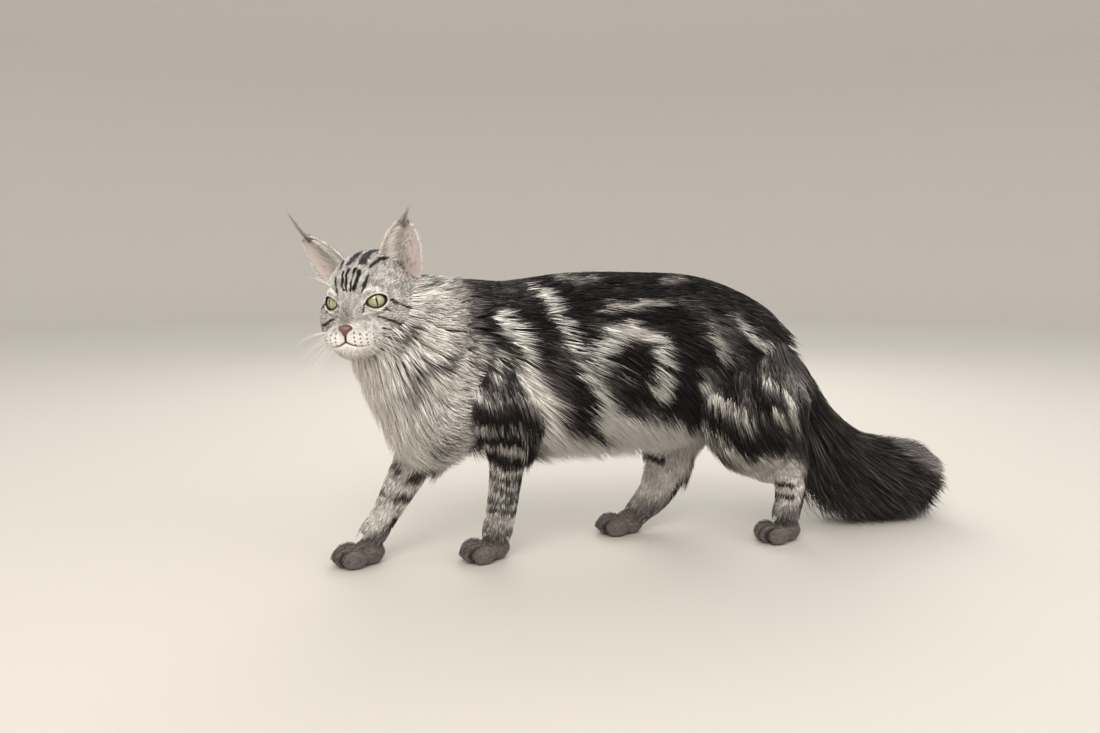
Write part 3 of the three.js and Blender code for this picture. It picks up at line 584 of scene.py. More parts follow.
def face_tone(p):
    """The face's tone in the head's frame: pale silver, white on the muzzle, chin and round the
    eyes, with dark lines on the brow, rims, tear lines and two stripes on each cheek."""
    q = mirrored(p) + 0.8 * np.stack([noise(p, 5.0, 21), noise(p, 5.0, 22), noise(p, 5.0, 23)], -1)
    tone = 0.71 + 0.1 * noise(p, 7.0, 24) + 0.14 * noise(p * [0.4, 1, 0.6], 2.6, 25)
    tone = tone - 0.06 * smooth(20, 45, p[:, 2])
    muzzle = np.linalg.norm((q - [48, 9, -41]) / [20, 21, 15], axis=-1)
    tone = tone + (0.97 - tone) * (1 - smooth(0.7, 1.15, muzzle))
    bridge = np.linalg.norm((q - [46, 0, -12]) / [22, 7.5, 15], axis=-1)
    tone = tone + (0.55 - tone) * (1 - smooth(0.6, 1.2, bridge))
    stir = np.stack([noise(p, 6.0, 31), noise(p, 6.0, 32), noise(p, 6.0, 33)], -1)
    seen = on_ball(q) + 1.1 * stir
    swell = 0.9 * noise(p * [0.5, 1, 1], 4.0, 34)
    for value, half, line in FACE_MARKS:
        d = distance_to(seen, on_ball(line))[0] + swell
        tone = tone + (value - tone) * (1 - smooth(half * 0.7, half * 1.6 + 0.7, d))
    for side in (1, -1):
        oval, ahead = eye_oval(p, side)
        near = ahead > 0
        tone = np.where(near, tone + (0.9 - tone) * (1 - smooth(1.35, 1.6, oval)) * 0.6, tone)
        tone = np.where(near, tone * smooth(1.14, 1.28, oval), tone)
    d, _ = distance_to(on_ball(q), on_ball([(36, 13.5, -3), (39, 13, -7), (41, 12.5, -10)]))
    tone = tone * smooth(0.2, 1.6, d)
    d, share = distance_to(on_ball(mirrored(p)), on_ball(MOUTH))
    tone = tone * (0.12 + 0.88 * smooth(0.3, 1.2, d + 0.9 * share**2))
    for row, column in np.ndindex(4, 4):
        spot = np.linalg.norm(on_ball(mirrored(p)) - on_ball(whisker_place(row, column)), axis=-1)
        tone = tone * (0.3 + 0.7 * smooth(0.4, 1.1, spot))
    return np.clip(tone, 0, 1)


TONES = np.array([0.0, 0.18, 0.45, 0.75, 1.0])
COLOURS = np.array([
    [0.011, 0.010, 0.010],
    [0.034, 0.030, 0.030],
    [0.190, 0.176, 0.170],
    [0.540, 0.510, 0.480],
    [0.920, 0.890, 0.840],
])
PAW_TINT = np.array([1.06, 1.0, 0.95])  # the paws' browner cast
PAW_TOP = 30  # below this the skin and its colour are a paw's


def colour(tone):
    """Linear colour of each tone, from warm black through silver to cream."""
    return np.stack([np.interp(np.clip(tone, 0, 1), TONES, COLOURS[:, k]) for k in range(3)], -1)


# Meshes


def mesh_object(name, points, faces, colours=None, uv=None):
    """A mesh in metres about the middle of the solids' box, with a Coat colour at each point and the
    OFBake map where they are given. Faces are an array of equal rows, or lists."""
    mesh = bpy.data.meshes.new(name)
    points = (np.asarray(points) - BOX_MIDDLE) / 1000
    if isinstance(faces, np.ndarray):
        count, corners = faces.shape
        mesh.vertices.add(len(points))
        mesh.vertices.foreach_set("co", points.astype(np.float32).ravel())
        mesh.loops.add(faces.size)
        mesh.loops.foreach_set("vertex_index", faces.astype(np.int32).ravel())
        mesh.polygons.add(count)
        mesh.polygons.foreach_set("loop_start", np.arange(0, faces.size, corners, dtype=np.int32))
        mesh.update(calc_edges=True)
    else:
        mesh.from_pydata(points.tolist(), [], faces)
    mesh.validate()
    if colours is not None:
        layer = mesh.color_attributes.new("Coat", "FLOAT_COLOR", "POINT")
        rgba = np.concatenate([colours, np.ones((len(points), 1))], 1).astype(np.float32)
        layer.data.foreach_set("color", rgba.ravel())
    if uv is not None:
        layer = mesh.uv_layers.new(name="OFBake")
        index = np.empty(len(mesh.loops), np.int32)
        mesh.loops.foreach_get("vertex_index", index)
        layer.data.foreach_set("uv", uv[index].astype(np.float32).ravel())
    mesh.polygons.foreach_set("use_smooth", np.ones(len(mesh.polygons), bool))
    obj = bpy.data.objects.new(name, mesh)
    bpy.context.scene.collection.objects.link(obj)
    return obj


FINE = (0.0, 0.5, 1.0)  # places along a short tuft: rings, then the tip
LONG = (0.0, 0.36, 0.72, 1.0)  # the same along a long one
BLADE_WIDTH = {3: np.array([0.8, 1.0]), 4: np.array([0.75, 1.0, 0.62])}  # by the places along it
BLADE_DEPTH = 0.42  # a blade's depth as a share of its width
PATCH = 0.0015  # half the width of a tuft's patch on the bake map


def blade_mesh(paths, outs, widths, tones, roots_uv):
    """Blades of three-sided section. paths and outs are (n, k, 3): k - 1 rings and the tip. The
    section is widths across the lie and BLADE_DEPTH of that outwards. The tone runs from the
    root's to the tip's by the share of the way to the power 0.8."""
    n, k = paths.shape[:2]
    rings = k - 1
    along = unit(np.gradient(paths, axis=1))
    across = unit(np.cross(along, outs))
    lift = unit(np.cross(across, along))
    w = (widths[:, None] * BLADE_WIDTH[k])[:, :, None]
    c, a, o = paths[:, :rings], across[:, :rings], lift[:, :rings]
    ring = np.stack([c + a * w / 2, c - a * w / 2, c + o * w * BLADE_DEPTH], 2)
    points = np.concatenate([ring.reshape(n, 3 * rings, 3), paths[:, rings:]], 1)
    faces = [[0, 1, 2]]
    for r in range(0, 3 * (rings - 1), 3):
        for i in range(3):
            j = (i + 1) % 3
            faces += [[r + i, r + 3 + i, r + 3 + j], [r + i, r + 3 + j, r + j]]
    last = 3 * (rings - 1)
    faces += [[last + i, 3 * rings, last + (i + 1) % 3] for i in range(3)]
    faces = np.array(faces)[:, ::-1]
    size = 3 * rings + 1
    all_faces = (faces[None] + size * np.arange(n)[:, None, None]).reshape(-1, 3)
    steps = np.linspace(0, 1, k)
    share = np.append(np.repeat(steps[:-1], 3), 1.0)
    tone = tones[:, 0:1] + (tones[:, 1:2] - tones[:, 0:1]) * share[None, :] ** 0.8
    patch = np.stack([np.append(np.tile([-1.0, 1.0, 0.0], rings), 0.0), 2 * share - 1], -1)
    uv = np.clip(roots_uv[:, None, :] + PATCH * patch[None], 0.001, 0.999)
    return points.reshape(-1, 3), all_faces, colour(tone.ravel()), uv.reshape(-1, 2)


COAT = []  # (piece, paths, outs, widths, tones, places on the bake map) of each group of tufts
ATLAS = {}  # the corner of each length's square on the bake map
SQUARE, SQUARE_STEP, SQUARE_EDGE = 0.235, 0.245, 0.01  # four squares to a row


def atlas(name, u, v):
    """The place on the bake map of each root, from its place on the length's own surface."""
    if name not in ATLAS:
        k = len(ATLAS)
        ATLAS[name] = (SQUARE_EDGE + SQUARE_STEP * (k % 4), SQUARE_EDGE + SQUARE_STEP * (k // 4))
    x, y = ATLAS[name]
    return np.stack([x + SQUARE * np.clip(u, 0, 1), y + SQUARE * (np.asarray(v) % 1.0)], -1)


def lay(piece, matrix, paths, outs, widths, tones, place):
    """Adds tufts that are given in the frame of matrix to a coat piece."""
    moved = apply(matrix, paths.reshape(-1, 3)).reshape(paths.shape)
    COAT.append((piece, moved, turned(matrix, outs), widths, tones, place))


def roots_on(limb, count, high=1.0):
    """Roots spread evenly by area over a limb: the grid cell by its area, then a place in it."""
    along, around = 80, 64
    u = np.linspace(0.0, high, along + 1)
    turn = np.linspace(0, TURN, around + 1)
    p = limb.point(u[:, None], turn[None, :], 0.5)
    area = np.linalg.norm(np.cross(p[1:, :-1] - p[:-1, :-1], p[:-1, 1:] - p[:-1, :-1]), axis=-1)
    pick = RNG.choice(area.size, count, p=(area / area.sum()).ravel())
    i, j = np.divmod(pick, around)
    return u[i] + (u[1] - u[0]) * RNG.random(count), turn[j] + (turn[1] - turn[0]) * RNG.random(count)


CLUMP_LENGTH, CLUMP_TURN = 17.0, 0.16  # a clump's length and its turn about the limb
CLUMP_SHIFT = 0.35  # how far every second row of clumps is turned
INSIDE = 0.86  # depth ratio below which a root lies inside another length


def coat_limb(limb, piece, count, tone_of, rule, others=(), high=1.0, steps=FINE):
    """A limb's coat. rule(u, turn) gives the run along the limb in millimetres, the turn in
    radians, the sag, the reach as a share of the coat, and the width. At the share t of its way, a
    tuft is at u + run t and turn + swing t, drawn to the middle of its clump by t^1.4, at the reach
    times sin(90 degrees t)^0.9, and lower by sag t^2. Roots inside the other lengths are left out."""
    u, turn = roots_on(limb, count, high)
    root = limb.point(u, turn, 0.0)
    keep = np.ones(count, bool)
    for other in others:
        keep &= other.depth_ratio(root) > INSIDE
    u, turn, root = u[keep], turn[keep], root[keep]
    n = len(u)
    run, swing, sag, reach, width = rule(u, turn)
    vary = RNG.random((n, 4))
    run = run * (0.75 + 0.5 * vary[:, 0])
    swing = swing + 0.1 * (vary[:, 1] - 0.5)
    reach = reach * (0.82 + 0.3 * vary[:, 2])
    clump_share = CLUMP_LENGTH / limb.length
    row = np.floor(u / clump_share)
    column = np.floor((turn + CLUMP_SHIFT * (row % 2)) / CLUMP_TURN)
    cell = np.stack([row, column, row * 0], -1).astype(np.int64)
    centre_u = (row + 0.2 + 0.6 * hash3(cell, 1)) * clump_share
    centre_turn = (column + 0.2 + 0.6 * hash3(cell, 2)) * CLUMP_TURN - CLUMP_SHIFT * (row % 2)
    clump = 0.62 * np.clip(run / 32, 0.2, 1)
    wave = 0.05 * (hash3(cell, 3) - 0.5)
    paths, outs = [], []
    for t in steps:
        here = u + run / limb.length * t + clump * (centre_u - u) * t**1.4
        here_turn = turn + swing * t + clump * (centre_turn - turn) * t**1.4 + wave * math.sin(5 * t)
        share = reach * math.sin(t * math.pi / 2) ** 0.9
        p = limb.point(here, here_turn, share)
        p[:, 2] -= sag * t * t
        p[:, 2] = np.maximum(p[:, 2], 1.5)
        paths.append(p)
        outs.append(limb.normal(np.clip(here, 0.01, 0.99), here_turn))
    paths, outs = np.stack(paths, 1), np.stack(outs, 1)
    tone = tone_of(paths[:, -2])
    wander = 0.09 * RNG.standard_normal(n)
    silver = 0.05 + 0.16 * (tone < 0.3) * (vary[:, 3] > 0.86)
    root_tone = np.clip(tone + 0.10 + wander, 0, 1)
    tip_tone = np.clip(tone + wander * 0.8 + silver - 0.05, 0, 1)
    widths = width * (0.75 + 0.5 * RNG.random(n))
    place = atlas(limb.name, u, turn / TURN)
    COAT.append((piece, paths, outs, widths, np.stack([root_tone, tip_tone], -1), place))


def torso_rule(u, turn):
    """Short and flat on the back, longer down the sides, long and hanging under the belly."""
    down = 0.5 - 0.5 * np.sin(turn)
    run = 26 + 22 * down
    side = np.where(np.cos(turn) > 0, -1, 1)
    toward_belly = side * 0.28 * smooth(0.15, 0.7, down) * (1 - smooth(0.85, 1, down))
    return run, toward_belly, 3 + 16 * smooth(0.6, 1, down), 0.95 + 0.15 * down, 1.15 + 0.5 * down


def neck_rule(u, turn):
    """The ruff: long locks that fall back and down, longest on the chest."""
    down = 0.5 - 0.5 * np.sin(turn)
    run = 24 + 26 * down * smooth(0, 0.3, u) + 10 * u
    return run, 0.0 * u, 4 + 18 * smooth(0.5, 1, down), 1.0 + 0.2 * down, 1.35 + 0.4 * down


def tail_rule(u, turn):
    """The plume: long hair towards the tip that also hangs below."""
    down = 0.5 - 0.5 * np.sin(turn)
    run = (44 + 26 * smooth(0.1, 0.5, u)) * (1 - 0.6 * smooth(0.7, 1, u))
    loose = RNG.random(len(u)) ** 2
    return run, 0.0 * u, 2 + 8 * down + 10 * loose, 0.92 + 0.12 * down + 0.28 * loose, 1.7 - 0.5 * loose


def leg_rule(rear, knee):
    """Short hair down the leg, with longer feathers behind the thigh or elbow above the knee."""

    def rule(u, turn):
        """What coat_limb asks for at u and turn on the leg."""
        behind = smooth(0.1, 0.9, np.sin(turn)) * (1 - smooth(knee, knee + 0.12, u))
        high = 1 - smooth(0.25, 0.55, u)
        run = 11 + 14 * high + rear * behind
        start = 0.3 + 0.7 * smooth(0, 0.22, u)
        reach = (0.5 + 0.5 * high + 0.4 * behind) * start
        return run, 0.0 * u, 1 + 8 * behind, reach, 0.8 + 0.65 * high + 0.4 * behind

    return rule


DENSITY = 1.0  # the share of the tufts that are grown


def many(count):
    return int(count * DENSITY)


LEG_COATS = [  # length, marks, height where the body's tone takes over, feathers, knee, tufts
    (FORE_LEFT, FORE_LEFT_MARKS, 205, 14, 0.42, 8500),
    (FORE_RIGHT, FORE_RIGHT_MARKS, 185, 14, 0.42, 8500),
    (HIND_LEFT, HIND_LEFT_MARKS, 122, 26, 0.55, 12500),
    (HIND_RIGHT, HIND_RIGHT_MARKS, 150, 26, 0.55, 11000),
]

coat_limb(TORSO, "coat_body", many(44000), body_tone, torso_rule, [*LEGS, NECK])
coat_limb(NECK, "coat_ruff", many(15000), neck_tone, neck_rule, [FORE_LEFT, FORE_RIGHT], steps=LONG)
for limb, marks, upper, rear, knee, count in LEG_COATS:
    others = [TORSO, NECK] if limb in (FORE_LEFT, FORE_RIGHT) else [TORSO]
    coat_limb(limb, "coat_legs", many(count), lambda p, m=marks, z=upper: leg_tone(p, m, z),
              leg_rule(rear, knee), others)
coat_limb(TAIL, "coat_tail", many(11000), tail_tone, tail_rule, [TORSO], high=0.94, steps=LONG)


# The head's coat


def head_coat(count):
    """Hair that flows back from the nose and lies close to the skin: about 2 mm on the muzzle, 3.6 mm
    at the front of the face, and up to about 40 mm behind the cheeks. None grows in the eyes' openings,
    on the nose, in the mouth's line or under the ears."""
    d = unit(RNG.standard_normal((count, 3)) + [0.35, 0, 0])
    root = head_reach(d)
    h = 0.02
    a = unit(np.cross(d, [0.1, 0.2, 1.0]))
    b = np.cross(d, a)
    out = unit(np.cross(head_reach(unit(d + h * a)) - root, head_reach(unit(d + h * b)) - root))
    out = out * np.sign((out * d).sum(-1))[:, None]
    bare = np.zeros(count, bool)
    for side in (1, -1):
        oval, ahead = eye_oval(root, side)
        bare |= (oval < 1.42) & (ahead > 0)
    bare |= np.linalg.norm((root - [60, 0, -27]) / [9, 11, 7.5], axis=-1) < 1
    bare |= distance_to(on_ball(mirrored(root)), on_ball(MOUTH))[0] < 1.8
    for side in (1, -1):
        ear = apply(HEAD_FRAME.inverted() @ ear_frame(side), np.zeros((1, 3)))
        bare |= np.linalg.norm(root - ear, axis=-1) / 13 < 0.8
    d, root, out = d[~bare], root[~bare], out[~bare]
    n = len(d)
    flow = unit(root - np.array([62, 0, -20])) + [-0.25, 0, 0]
    flow = flow + [0, 0, -0.35] * smooth(0, 40, -root[:, 2:3]) * smooth(40, 10, root[:, 0:1])
    flow = unit(flow - out * (flow * out).sum(-1)[:, None])
    back = smooth(48, -25, root[:, 0])
    muzzle = 1 - smooth(0.8, 1.3, np.linalg.norm((mirrored(root) - [50, 6, -34]) / [17, 22, 20], axis=-1))
    long = 3.6 - 1.6 * muzzle + 8 * back + 15 * smooth(-5, -40, root[:, 0])
    long = long + 14 * smooth(-12, -40, root[:, 2]) * back
    under = smooth(-44, -50, root[:, 2])
    long = long + 9 * under
    near = distance_to(on_ball(mirrored(root)), on_ball(MOUTH))[0]
    long = long * (0.8 + 0.4 * RNG.random(n)) * (0.4 + 0.6 * np.maximum(smooth(2, 6, near), under))
    lift = 0.16 + 0.2 * smooth(0.3, 1, back)
    paths = []
    for t in FINE:
        raised = out * (lift * long * math.sin(t * 1.7))[:, None]
        paths.append(root + flow * (long * t)[:, None] + raised - [0, 0, 1] * (0.12 * long * t * t)[:, None])
    paths = np.stack(paths, 1)
    tone = face_tone(root + flow * (long * 0.5 * (1 - muzzle))[:, None] * (long < 12)[:, None])
    wander = 0.07 * RNG.standard_normal(n)
    tones = np.stack([np.clip(tone + 0.02 + wander, 0, 1), np.clip(tone + 0.03 + wander, 0, 1)], -1)
    polar = np.arccos(np.clip(d[:, 0], -1, 1)) / math.pi
    place = atlas("head", polar, np.arctan2(d[:, 2], d[:, 1]) / TURN)
    lay("coat_head", HEAD_FRAME, paths, np.repeat(out[:, None], 3, 1), 0.4 + 0.055 * long, tones, place)


def lay_ear(side, paths, outs, width, root_tone, tip_tone, t, s):
    """Adds an ear's tufts of one width, with their patches at t up and s across."""
    widths = np.full(len(paths), width)
    place = atlas("ear%d" % side, t, s * 0.4 + 0.5)
    lay("coat_ears", ear_frame(side), paths, outs, widths, np.stack([root_tone, tip_tone], -1), place)


def facing(n):
    """The outward direction of n tufts in the cup, which is the ear's forward axis."""
    return np.tile([1.0, 0, 0], (n, 3, 1))


def ear_down(side, n):
    """Down on the back of the ear: up by its length, and to the side by s / 10 of it."""
    s, t = RNG.random(n) * 1.9 - 0.95, RNG.random(n) * 0.95
    root = ear_point(s, t, side, 1.0)
    out = unit(np.stack([-np.ones(n), s * 0.9, 0.1 + 0 * s], -1))
    long = 5 + 5 * (1 - t)
    ways = [np.stack([-0.8 * np.sin(k * 1.5) + 0 * s, 0.1 * s * long * k, long * k], -1) for k in FINE]
    paths = np.stack([root + way for way in ways], 1)
    tone = 0.42 + 0.2 * RNG.random(n) - 0.25 * (1 - smooth(0.1, 0.35, t)) * (side * s > 0.2)
    lay_ear(side, paths, np.repeat(out[:, None], 3, 1), 1.1, tone, tone + 0.1, t, s)


def cup_hair(side, n):
    """Fine hair that rises inside the cup, each tuft straight and bowed forward by 0.9 sin(2.6 k)."""
    s, t = RNG.random(n) * 1.7 - 0.85, 0.7 * RNG.random(n) ** 1.3
    root = ear_point(s, t, side, 0.0)
    long = (9 + 9 * RNG.random(n)) * (1 - 0.4 * t)
    way = np.stack([0.12 + 0 * s, side * 0.25 + 0.25 * s, 1 - 0.2 * t], -1)
    way = unit(way + 0.12 * RNG.standard_normal((n, 3)))
    paths = np.stack([root + way * (long * k)[:, None] + [0.9 * math.sin(2.6 * k), 0, 0] for k in FINE], 1)
    tone = 0.74 + 0.16 * RNG.random(n)
    lay_ear(side, paths, facing(n), 0.34, tone, tone + 0.1, t, s)


def cup_fringe(side, n):
    """Long pale hairs from the edge nearer the head's middle, across the cup and up."""
    t = 0.03 + 0.8 * RNG.random(n) ** 1.2
    inner = -side  # the edge nearer the head's middle
    s = inner * (0.86 + 0.12 * RNG.random(n))
    reach = (14 + 12 * RNG.random(n)) * (1 - 0.6 * t)
    root = ear_point(s, t, side, 0.0)
    paths = []
    for k in FINE:
        forward = 3.5 * np.sin(k * 2.6) * (0.5 + RNG.random(1)) - 3 * k
        paths.append(root + np.stack([forward + 0 * t, -inner * reach * k, reach * 0.55 * k], -1))
    tone = 0.86 + 0.12 * RNG.random(n)
    lay_ear(side, np.stack(paths, 1), facing(n), 0.4, tone, tone, t, s)


def edge_fringe(side, n):
    """Short hairs on both edges, longer low on the outer edge of the right ear."""
    s = np.where(RNG.random(n) < 0.5, 1, -1) * (0.93 + 0.07 * RNG.random(n))
    t = 0.04 + 0.9 * RNG.random(n)
    root = ear_point(s, t, side, 0.5)
    outer = (side < 0) * (s * side > 0) * (1 - smooth(0.2, 0.6, t))
    long = 2.5 + 2.5 * RNG.random(n) + outer * (6 + 6 * RNG.random(n))
    sideways = np.sign(s) * (0.35 + 1.3 * outer)
    grow = unit(np.stack([0.3 * RNG.standard_normal(n), sideways, 1 - 0.4 * outer], -1))
    paths = np.stack([root + grow * (long * k)[:, None] for k in FINE], 1)
    tone = 0.8 + 0.15 * RNG.random(n)
    lay_ear(side, paths, facing(n), 0.8, tone, tone, t, s)


def tip_tuft(side, n):
    """The tuft on the tip, gathered to a point and bent outwards by the square of the way up."""
    far, bend = (1, 0.3) if side > 0 else (1.9, 0.22)
    middle = side * 1.5
    root = np.stack([
        RNG.normal(-1.5, 0.6, n), RNG.normal(middle, 1.5, n), EAR["height"] - 8 * RNG.random(n)], -1)
    long = (10 + 9 * RNG.random(n)) * far
    off = root[:, 1] - middle
    ways = [np.stack([0.1 * long * k, bend * long * k * k - off * 0.7 * k, long * k], -1) for k in FINE]
    paths = np.stack([root + way for way in ways], 1)
    tone = 0.45 + 0.25 * RNG.random(n)
    lay_ear(side, paths, facing(n), 0.6, tone, tone, 0.98 + 0 * long, 0 * long)


head_coat(many(26000))
for side in (1, -1):
    ear_down(side, many(1300))
    cup_hair(side, many(520))
    cup_fringe(side, many(190))
    edge_fringe(side, many(360))
    tip_tuft(side, many(130))


# Paws


TOE_STEP = 10.9  # between the middles of two toes
TOE_GAP_SHADE_WIDTH = 1.7  # the width of the painted shade between two toes


def paw_frame(place, heading):
    """A paw's frame: x towards its toes, with its middle on the floor."""
    return Matrix.Translation((*place, 0)) @ Matrix.Rotation(math.radians(heading), 4, "Z")


def paw_tone(p):
    """A paw's tone: 0.34, less 0.27 exp(-(y / TOE_GAP_SHADE_WIDTH)^2) of painted shade about each gap that
    parts the toes.
    """
    toe_gap_shade = np.zeros(len(p))
    for place, heading, _ in PAWS:
        x, y, _ = apply(paw_frame(place, heading).inverted(), p).T
        near = (np.abs(x) < 45) & (np.abs(y) < 26)
        for k in (-1, 0, 1):
            # Painted shade in the gap between two toes
            line = np.exp(-((y - k * TOE_STEP) / TOE_GAP_SHADE_WIDTH) ** 2) * smooth(1, 9, x) * near
            toe_gap_shade = np.maximum(toe_gap_shade, line)
    return 0.34 - 0.27 * toe_gap_shade


def paw_blobs(place, heading, long):
    """The mound and four toes of a paw, as (centre, radii, frame)."""
    frame_here = paw_frame(place, heading)
    blobs = [((-11, 0, 13), (long * 0.38, 17, 17), frame_here)]
    for spread in (-1.5, -0.5, 0.5, 1.5):
        inner = abs(spread) < 1
        toe = frame_here @ Matrix.Translation((16 if inner else 10, spread * TOE_STEP, 10.5))
        blobs.append(((0, 0, 0.8), (17 if inner else 16, 6.1, 12.2), toe))
    return blobs


def ball(rings, sides):
    """A unit ball as (points, faces), its axis along x."""
    polar = math.pi * np.arange(1, rings + 1) / (rings + 1)
    turn = np.arange(sides) / sides * TURN
    a, b = np.meshgrid(polar, turn, indexing="ij")
    p = np.stack([-np.cos(a), np.sin(a) * np.cos(b), np.sin(a) * np.sin(b)], -1).reshape(-1, 3)
    return np.vstack([[-1, 0, 0], p, [1, 0, 0]]), capped_grid(rings, sides)


def paw_coat(place, heading, long, name, count):
    """Short down over a paw's mound and toes, pointing forward, 2.2 to 3.5 mm long."""
    ahead = np.array([1.0, 0, -0.25])
    for blob, (centre, radii, m) in enumerate(paw_blobs(place, heading, long)):
        n = many(count if blob == 0 else count // 3)
        d = unit(RNG.standard_normal((n, 3)))
        d = d[d[:, 2] > -0.25]
        root = np.array(centre) + d * np.array(radii) * 0.97
        out = unit(d / np.array(radii))
        flow = unit(ahead - out * (out @ ahead)[:, None])
        hair = 2.2 + 1.3 * RNG.random(len(d))
        lifts = [0.55 * math.sin(k * 2.2) for k in FINE]
        paths = np.stack([root + flow * (hair * k)[:, None] + out * up for k, up in zip(FINE, lifts)], 1)
        paths = apply(m, paths.reshape(-1, 3)).reshape(-1, 3, 3)
        paths[..., 2] = np.maximum(paths[..., 2], 0.6)
        tone = paw_tone(paths[:, 0]) + 0.03 * RNG.standard_normal(len(d))
        tones = np.stack([tone, tone + 0.02], -1)
        u = 0.1 + 0.18 * blob + 0.15 * (d[:, 0] * 0.5 + 0.5)
        place_on_map = atlas(name, u, d[:, 1] * 0.4 + 0.5)
        outs = turned(m, np.repeat(out[:, None], 3, 1))
        COAT.append(("coat_paws", paths, outs, np.full(len(d), 0.5), tones, place_on_map))


for k, paw in enumerate(PAWS):
    paw_coat(*paw, "paw%d" % k, 1300)


# Skin


SKIN_CELL = 0.0023  # metres: the cell of the grid that fuses the skin


def body_skin():
    """The trunk, neck, legs, tail and paws fused into one smooth surface."""
    parts = [limb.skin(60, 40) for limb in (TORSO, NECK, TAIL, *LEGS)]
    for paw in PAWS:
        for centre, radii, m in paw_blobs(*paw):
            p, f = ball(14, 18)
            parts.append((apply(m, np.array(centre) + p * np.array(radii) * 0.97), f))
    points, faces, base = [], [], 0
    for p, f in parts:
        points.append(p)
        faces += [[i + base for i in face] for face in f]
        base += len(p)
    points = np.vstack(points)
    points[:, 2] = np.maximum(points[:, 2], 0.2)
    obj = mesh_object("skin", points, faces)
    remesh = obj.modifiers.new("fuse", "REMESH")
    remesh.mode, remesh.voxel_size = "VOXEL", SKIN_CELL
    ease = obj.modifiers.new("ease", "SMOOTH")
    ease.factor, ease.iterations = 0.5, 3
    evaluated = obj.evaluated_get(bpy.context.evaluated_depsgraph_get())
    fused = bpy.data.meshes.new_from_object(evaluated)
    old = obj.data
    obj.modifiers.clear()
    obj.data = fused
    bpy.data.meshes.remove(old)
    return obj


def body_colour(p):
    """The tone of the skin at each point: that of the nearest length of the body."""
    tone = body_tone(p)
    ratios = np.stack([limb.depth_ratio(p) for limb in (TORSO, NECK, TAIL, *LEGS)], 0)
    nearest = ratios.argmin(0)
    tone = np.where(nearest == 1, neck_tone(p), tone)
    tone = np.where(nearest == 2, tail_tone(p), tone)
    for k, (_, marks, upper, *_) in enumerate(LEG_COATS):
        tone = np.where(nearest == 3 + k, leg_tone(p, marks, upper), tone)
    # Below PAW_TOP the skin takes the paw's tone, with painted shade between the toes
    return np.where(p[:, 2] < PAW_TOP, paw_tone(p), tone)


def read_points(obj):
    """An object's points in the working frame."""
    p = np.empty(len(obj.data.vertices) * 3, np.float32)
    obj.data.vertices.foreach_get("co", p)
    return p.reshape(-1, 3).astype(float) * 1000 + BOX_MIDDLE


def add_colour(obj, tone):
    """Stores the tone's colour at each point: a fifth darker than the coat's as painted shade under the
    tufts, or tinted on the paws.
    """
    layer = obj.data.color_attributes.new("Coat", "FLOAT_COLOR", "POINT")
    # 0.8 is painted shade under the tufts; PAW_TINT is the paws' own browner cast
    tint = np.where(read_points(obj)[:, 2:] < PAW_TOP, PAW_TINT, 0.8)
    rgba = np.concatenate([colour(tone) * tint, np.ones((len(tone), 1))], 1).astype(np.float32)
    layer.data.foreach_set("color", rgba.ravel())


def head_skin(rings, sides):
    """The head's surface as points in the head's frame and faces."""
    return head_points(head_directions(rings, sides)), capped_grid(rings - 1, sides)


def ear_skin(side, up=40, across=30):
    """An ear's closed cup: its inside and its outside as one ring at each height."""
    s = np.linspace(-1, 1, across)
    rings = []
    for t in np.linspace(-0.12, 0.998, up):
        front = ear_point(s, np.full(across, t), side, np.zeros(across))
        rear = ear_point(s[::-1], np.full(across, t), side, np.ones(across))
        rings.append(np.vstack([front, rear]))
    points = np.vstack([rings[0].mean(0), *rings, rings[-1].mean(0)])
    return points, [face[::-1] for face in capped_grid(up, 2 * across)]


skin = body_skin()
add_colour(skin, body_colour(read_points(skin)))
rings, sides = ((230, 330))
p, f = head_skin(rings, sides)
# The head's skin is a tenth darker than the face's tone: painted shade under the tufts
head = mesh_object("skin_head", apply(HEAD_FRAME, p), f, colour(face_tone(p)) * 0.9)
ears = []
for side, name in ((1, "left"), (-1, "right")):
    p, f = ear_skin(side)
    ears.append(mesh_object("ear_" + name, apply(ear_frame(side), p), f))
bpy.context.view_layer.objects.active = skin
for o in bpy.context.scene.objects:
    o.select_set(o in (skin, head))
bpy.ops.object.join()


# Materials


def material(name, **values):
    """A Principled material with constant values, each named as its socket, with _ for a space."""
    m = bpy.data.materials.new(name)
    m.use_nodes = True
    shader = m.node_tree.nodes["Principled BSDF"]
    for key, value in values.items():
        shader.inputs[key.replace("_", " ")].default_value = value
    return m


def painted_material(name, **values):
    """A material whose colour is the Coat colour of the mesh."""
    m = material(name, **values)
    tree = m.node_tree
    attribute = tree.nodes.new("ShaderNodeVertexColor")
    attribute.layer_name = "Coat"
    tree.links.new(attribute.outputs["Color"], tree.nodes["Principled BSDF"].inputs["Base Color"])
    return m


def coat_material(name, roughness, grain):
    """Hair: the Coat colour, broken by fine noise, with a soft sheen."""
    m = material(name, Roughness=roughness, Specular_IOR_Level=0.14)
    tree = m.node_tree
    attribute = tree.nodes.new("ShaderNodeVertexColor")
    attribute.layer_name = "Coat"
    coords = tree.nodes.new("ShaderNodeTexCoord")
    fine = tree.nodes.new("ShaderNodeTexNoise")
    fine.inputs["Scale"].default_value = 700
    fine.inputs["Detail"].default_value = 2
    ramp = tree.nodes.new("ShaderNodeMapRange")
    ramp.inputs["To Min"].default_value = 1 - grain
    ramp.inputs["To Max"].default_value = 1 + grain
    mix = tree.nodes.new("ShaderNodeVectorMath")
    mix.operation = "SCALE"
    tree.links.new(coords.outputs["Object"], fine.inputs["Vector"])
    tree.links.new(fine.outputs["Fac"], ramp.inputs["Value"])
    tree.links.new(attribute.outputs["Color"], mix.inputs[0])
    tree.links.new(ramp.outputs["Result"], mix.inputs["Scale"])
    tree.links.new(mix.outputs["Vector"], tree.nodes["Principled BSDF"].inputs["Base Color"])
    return m


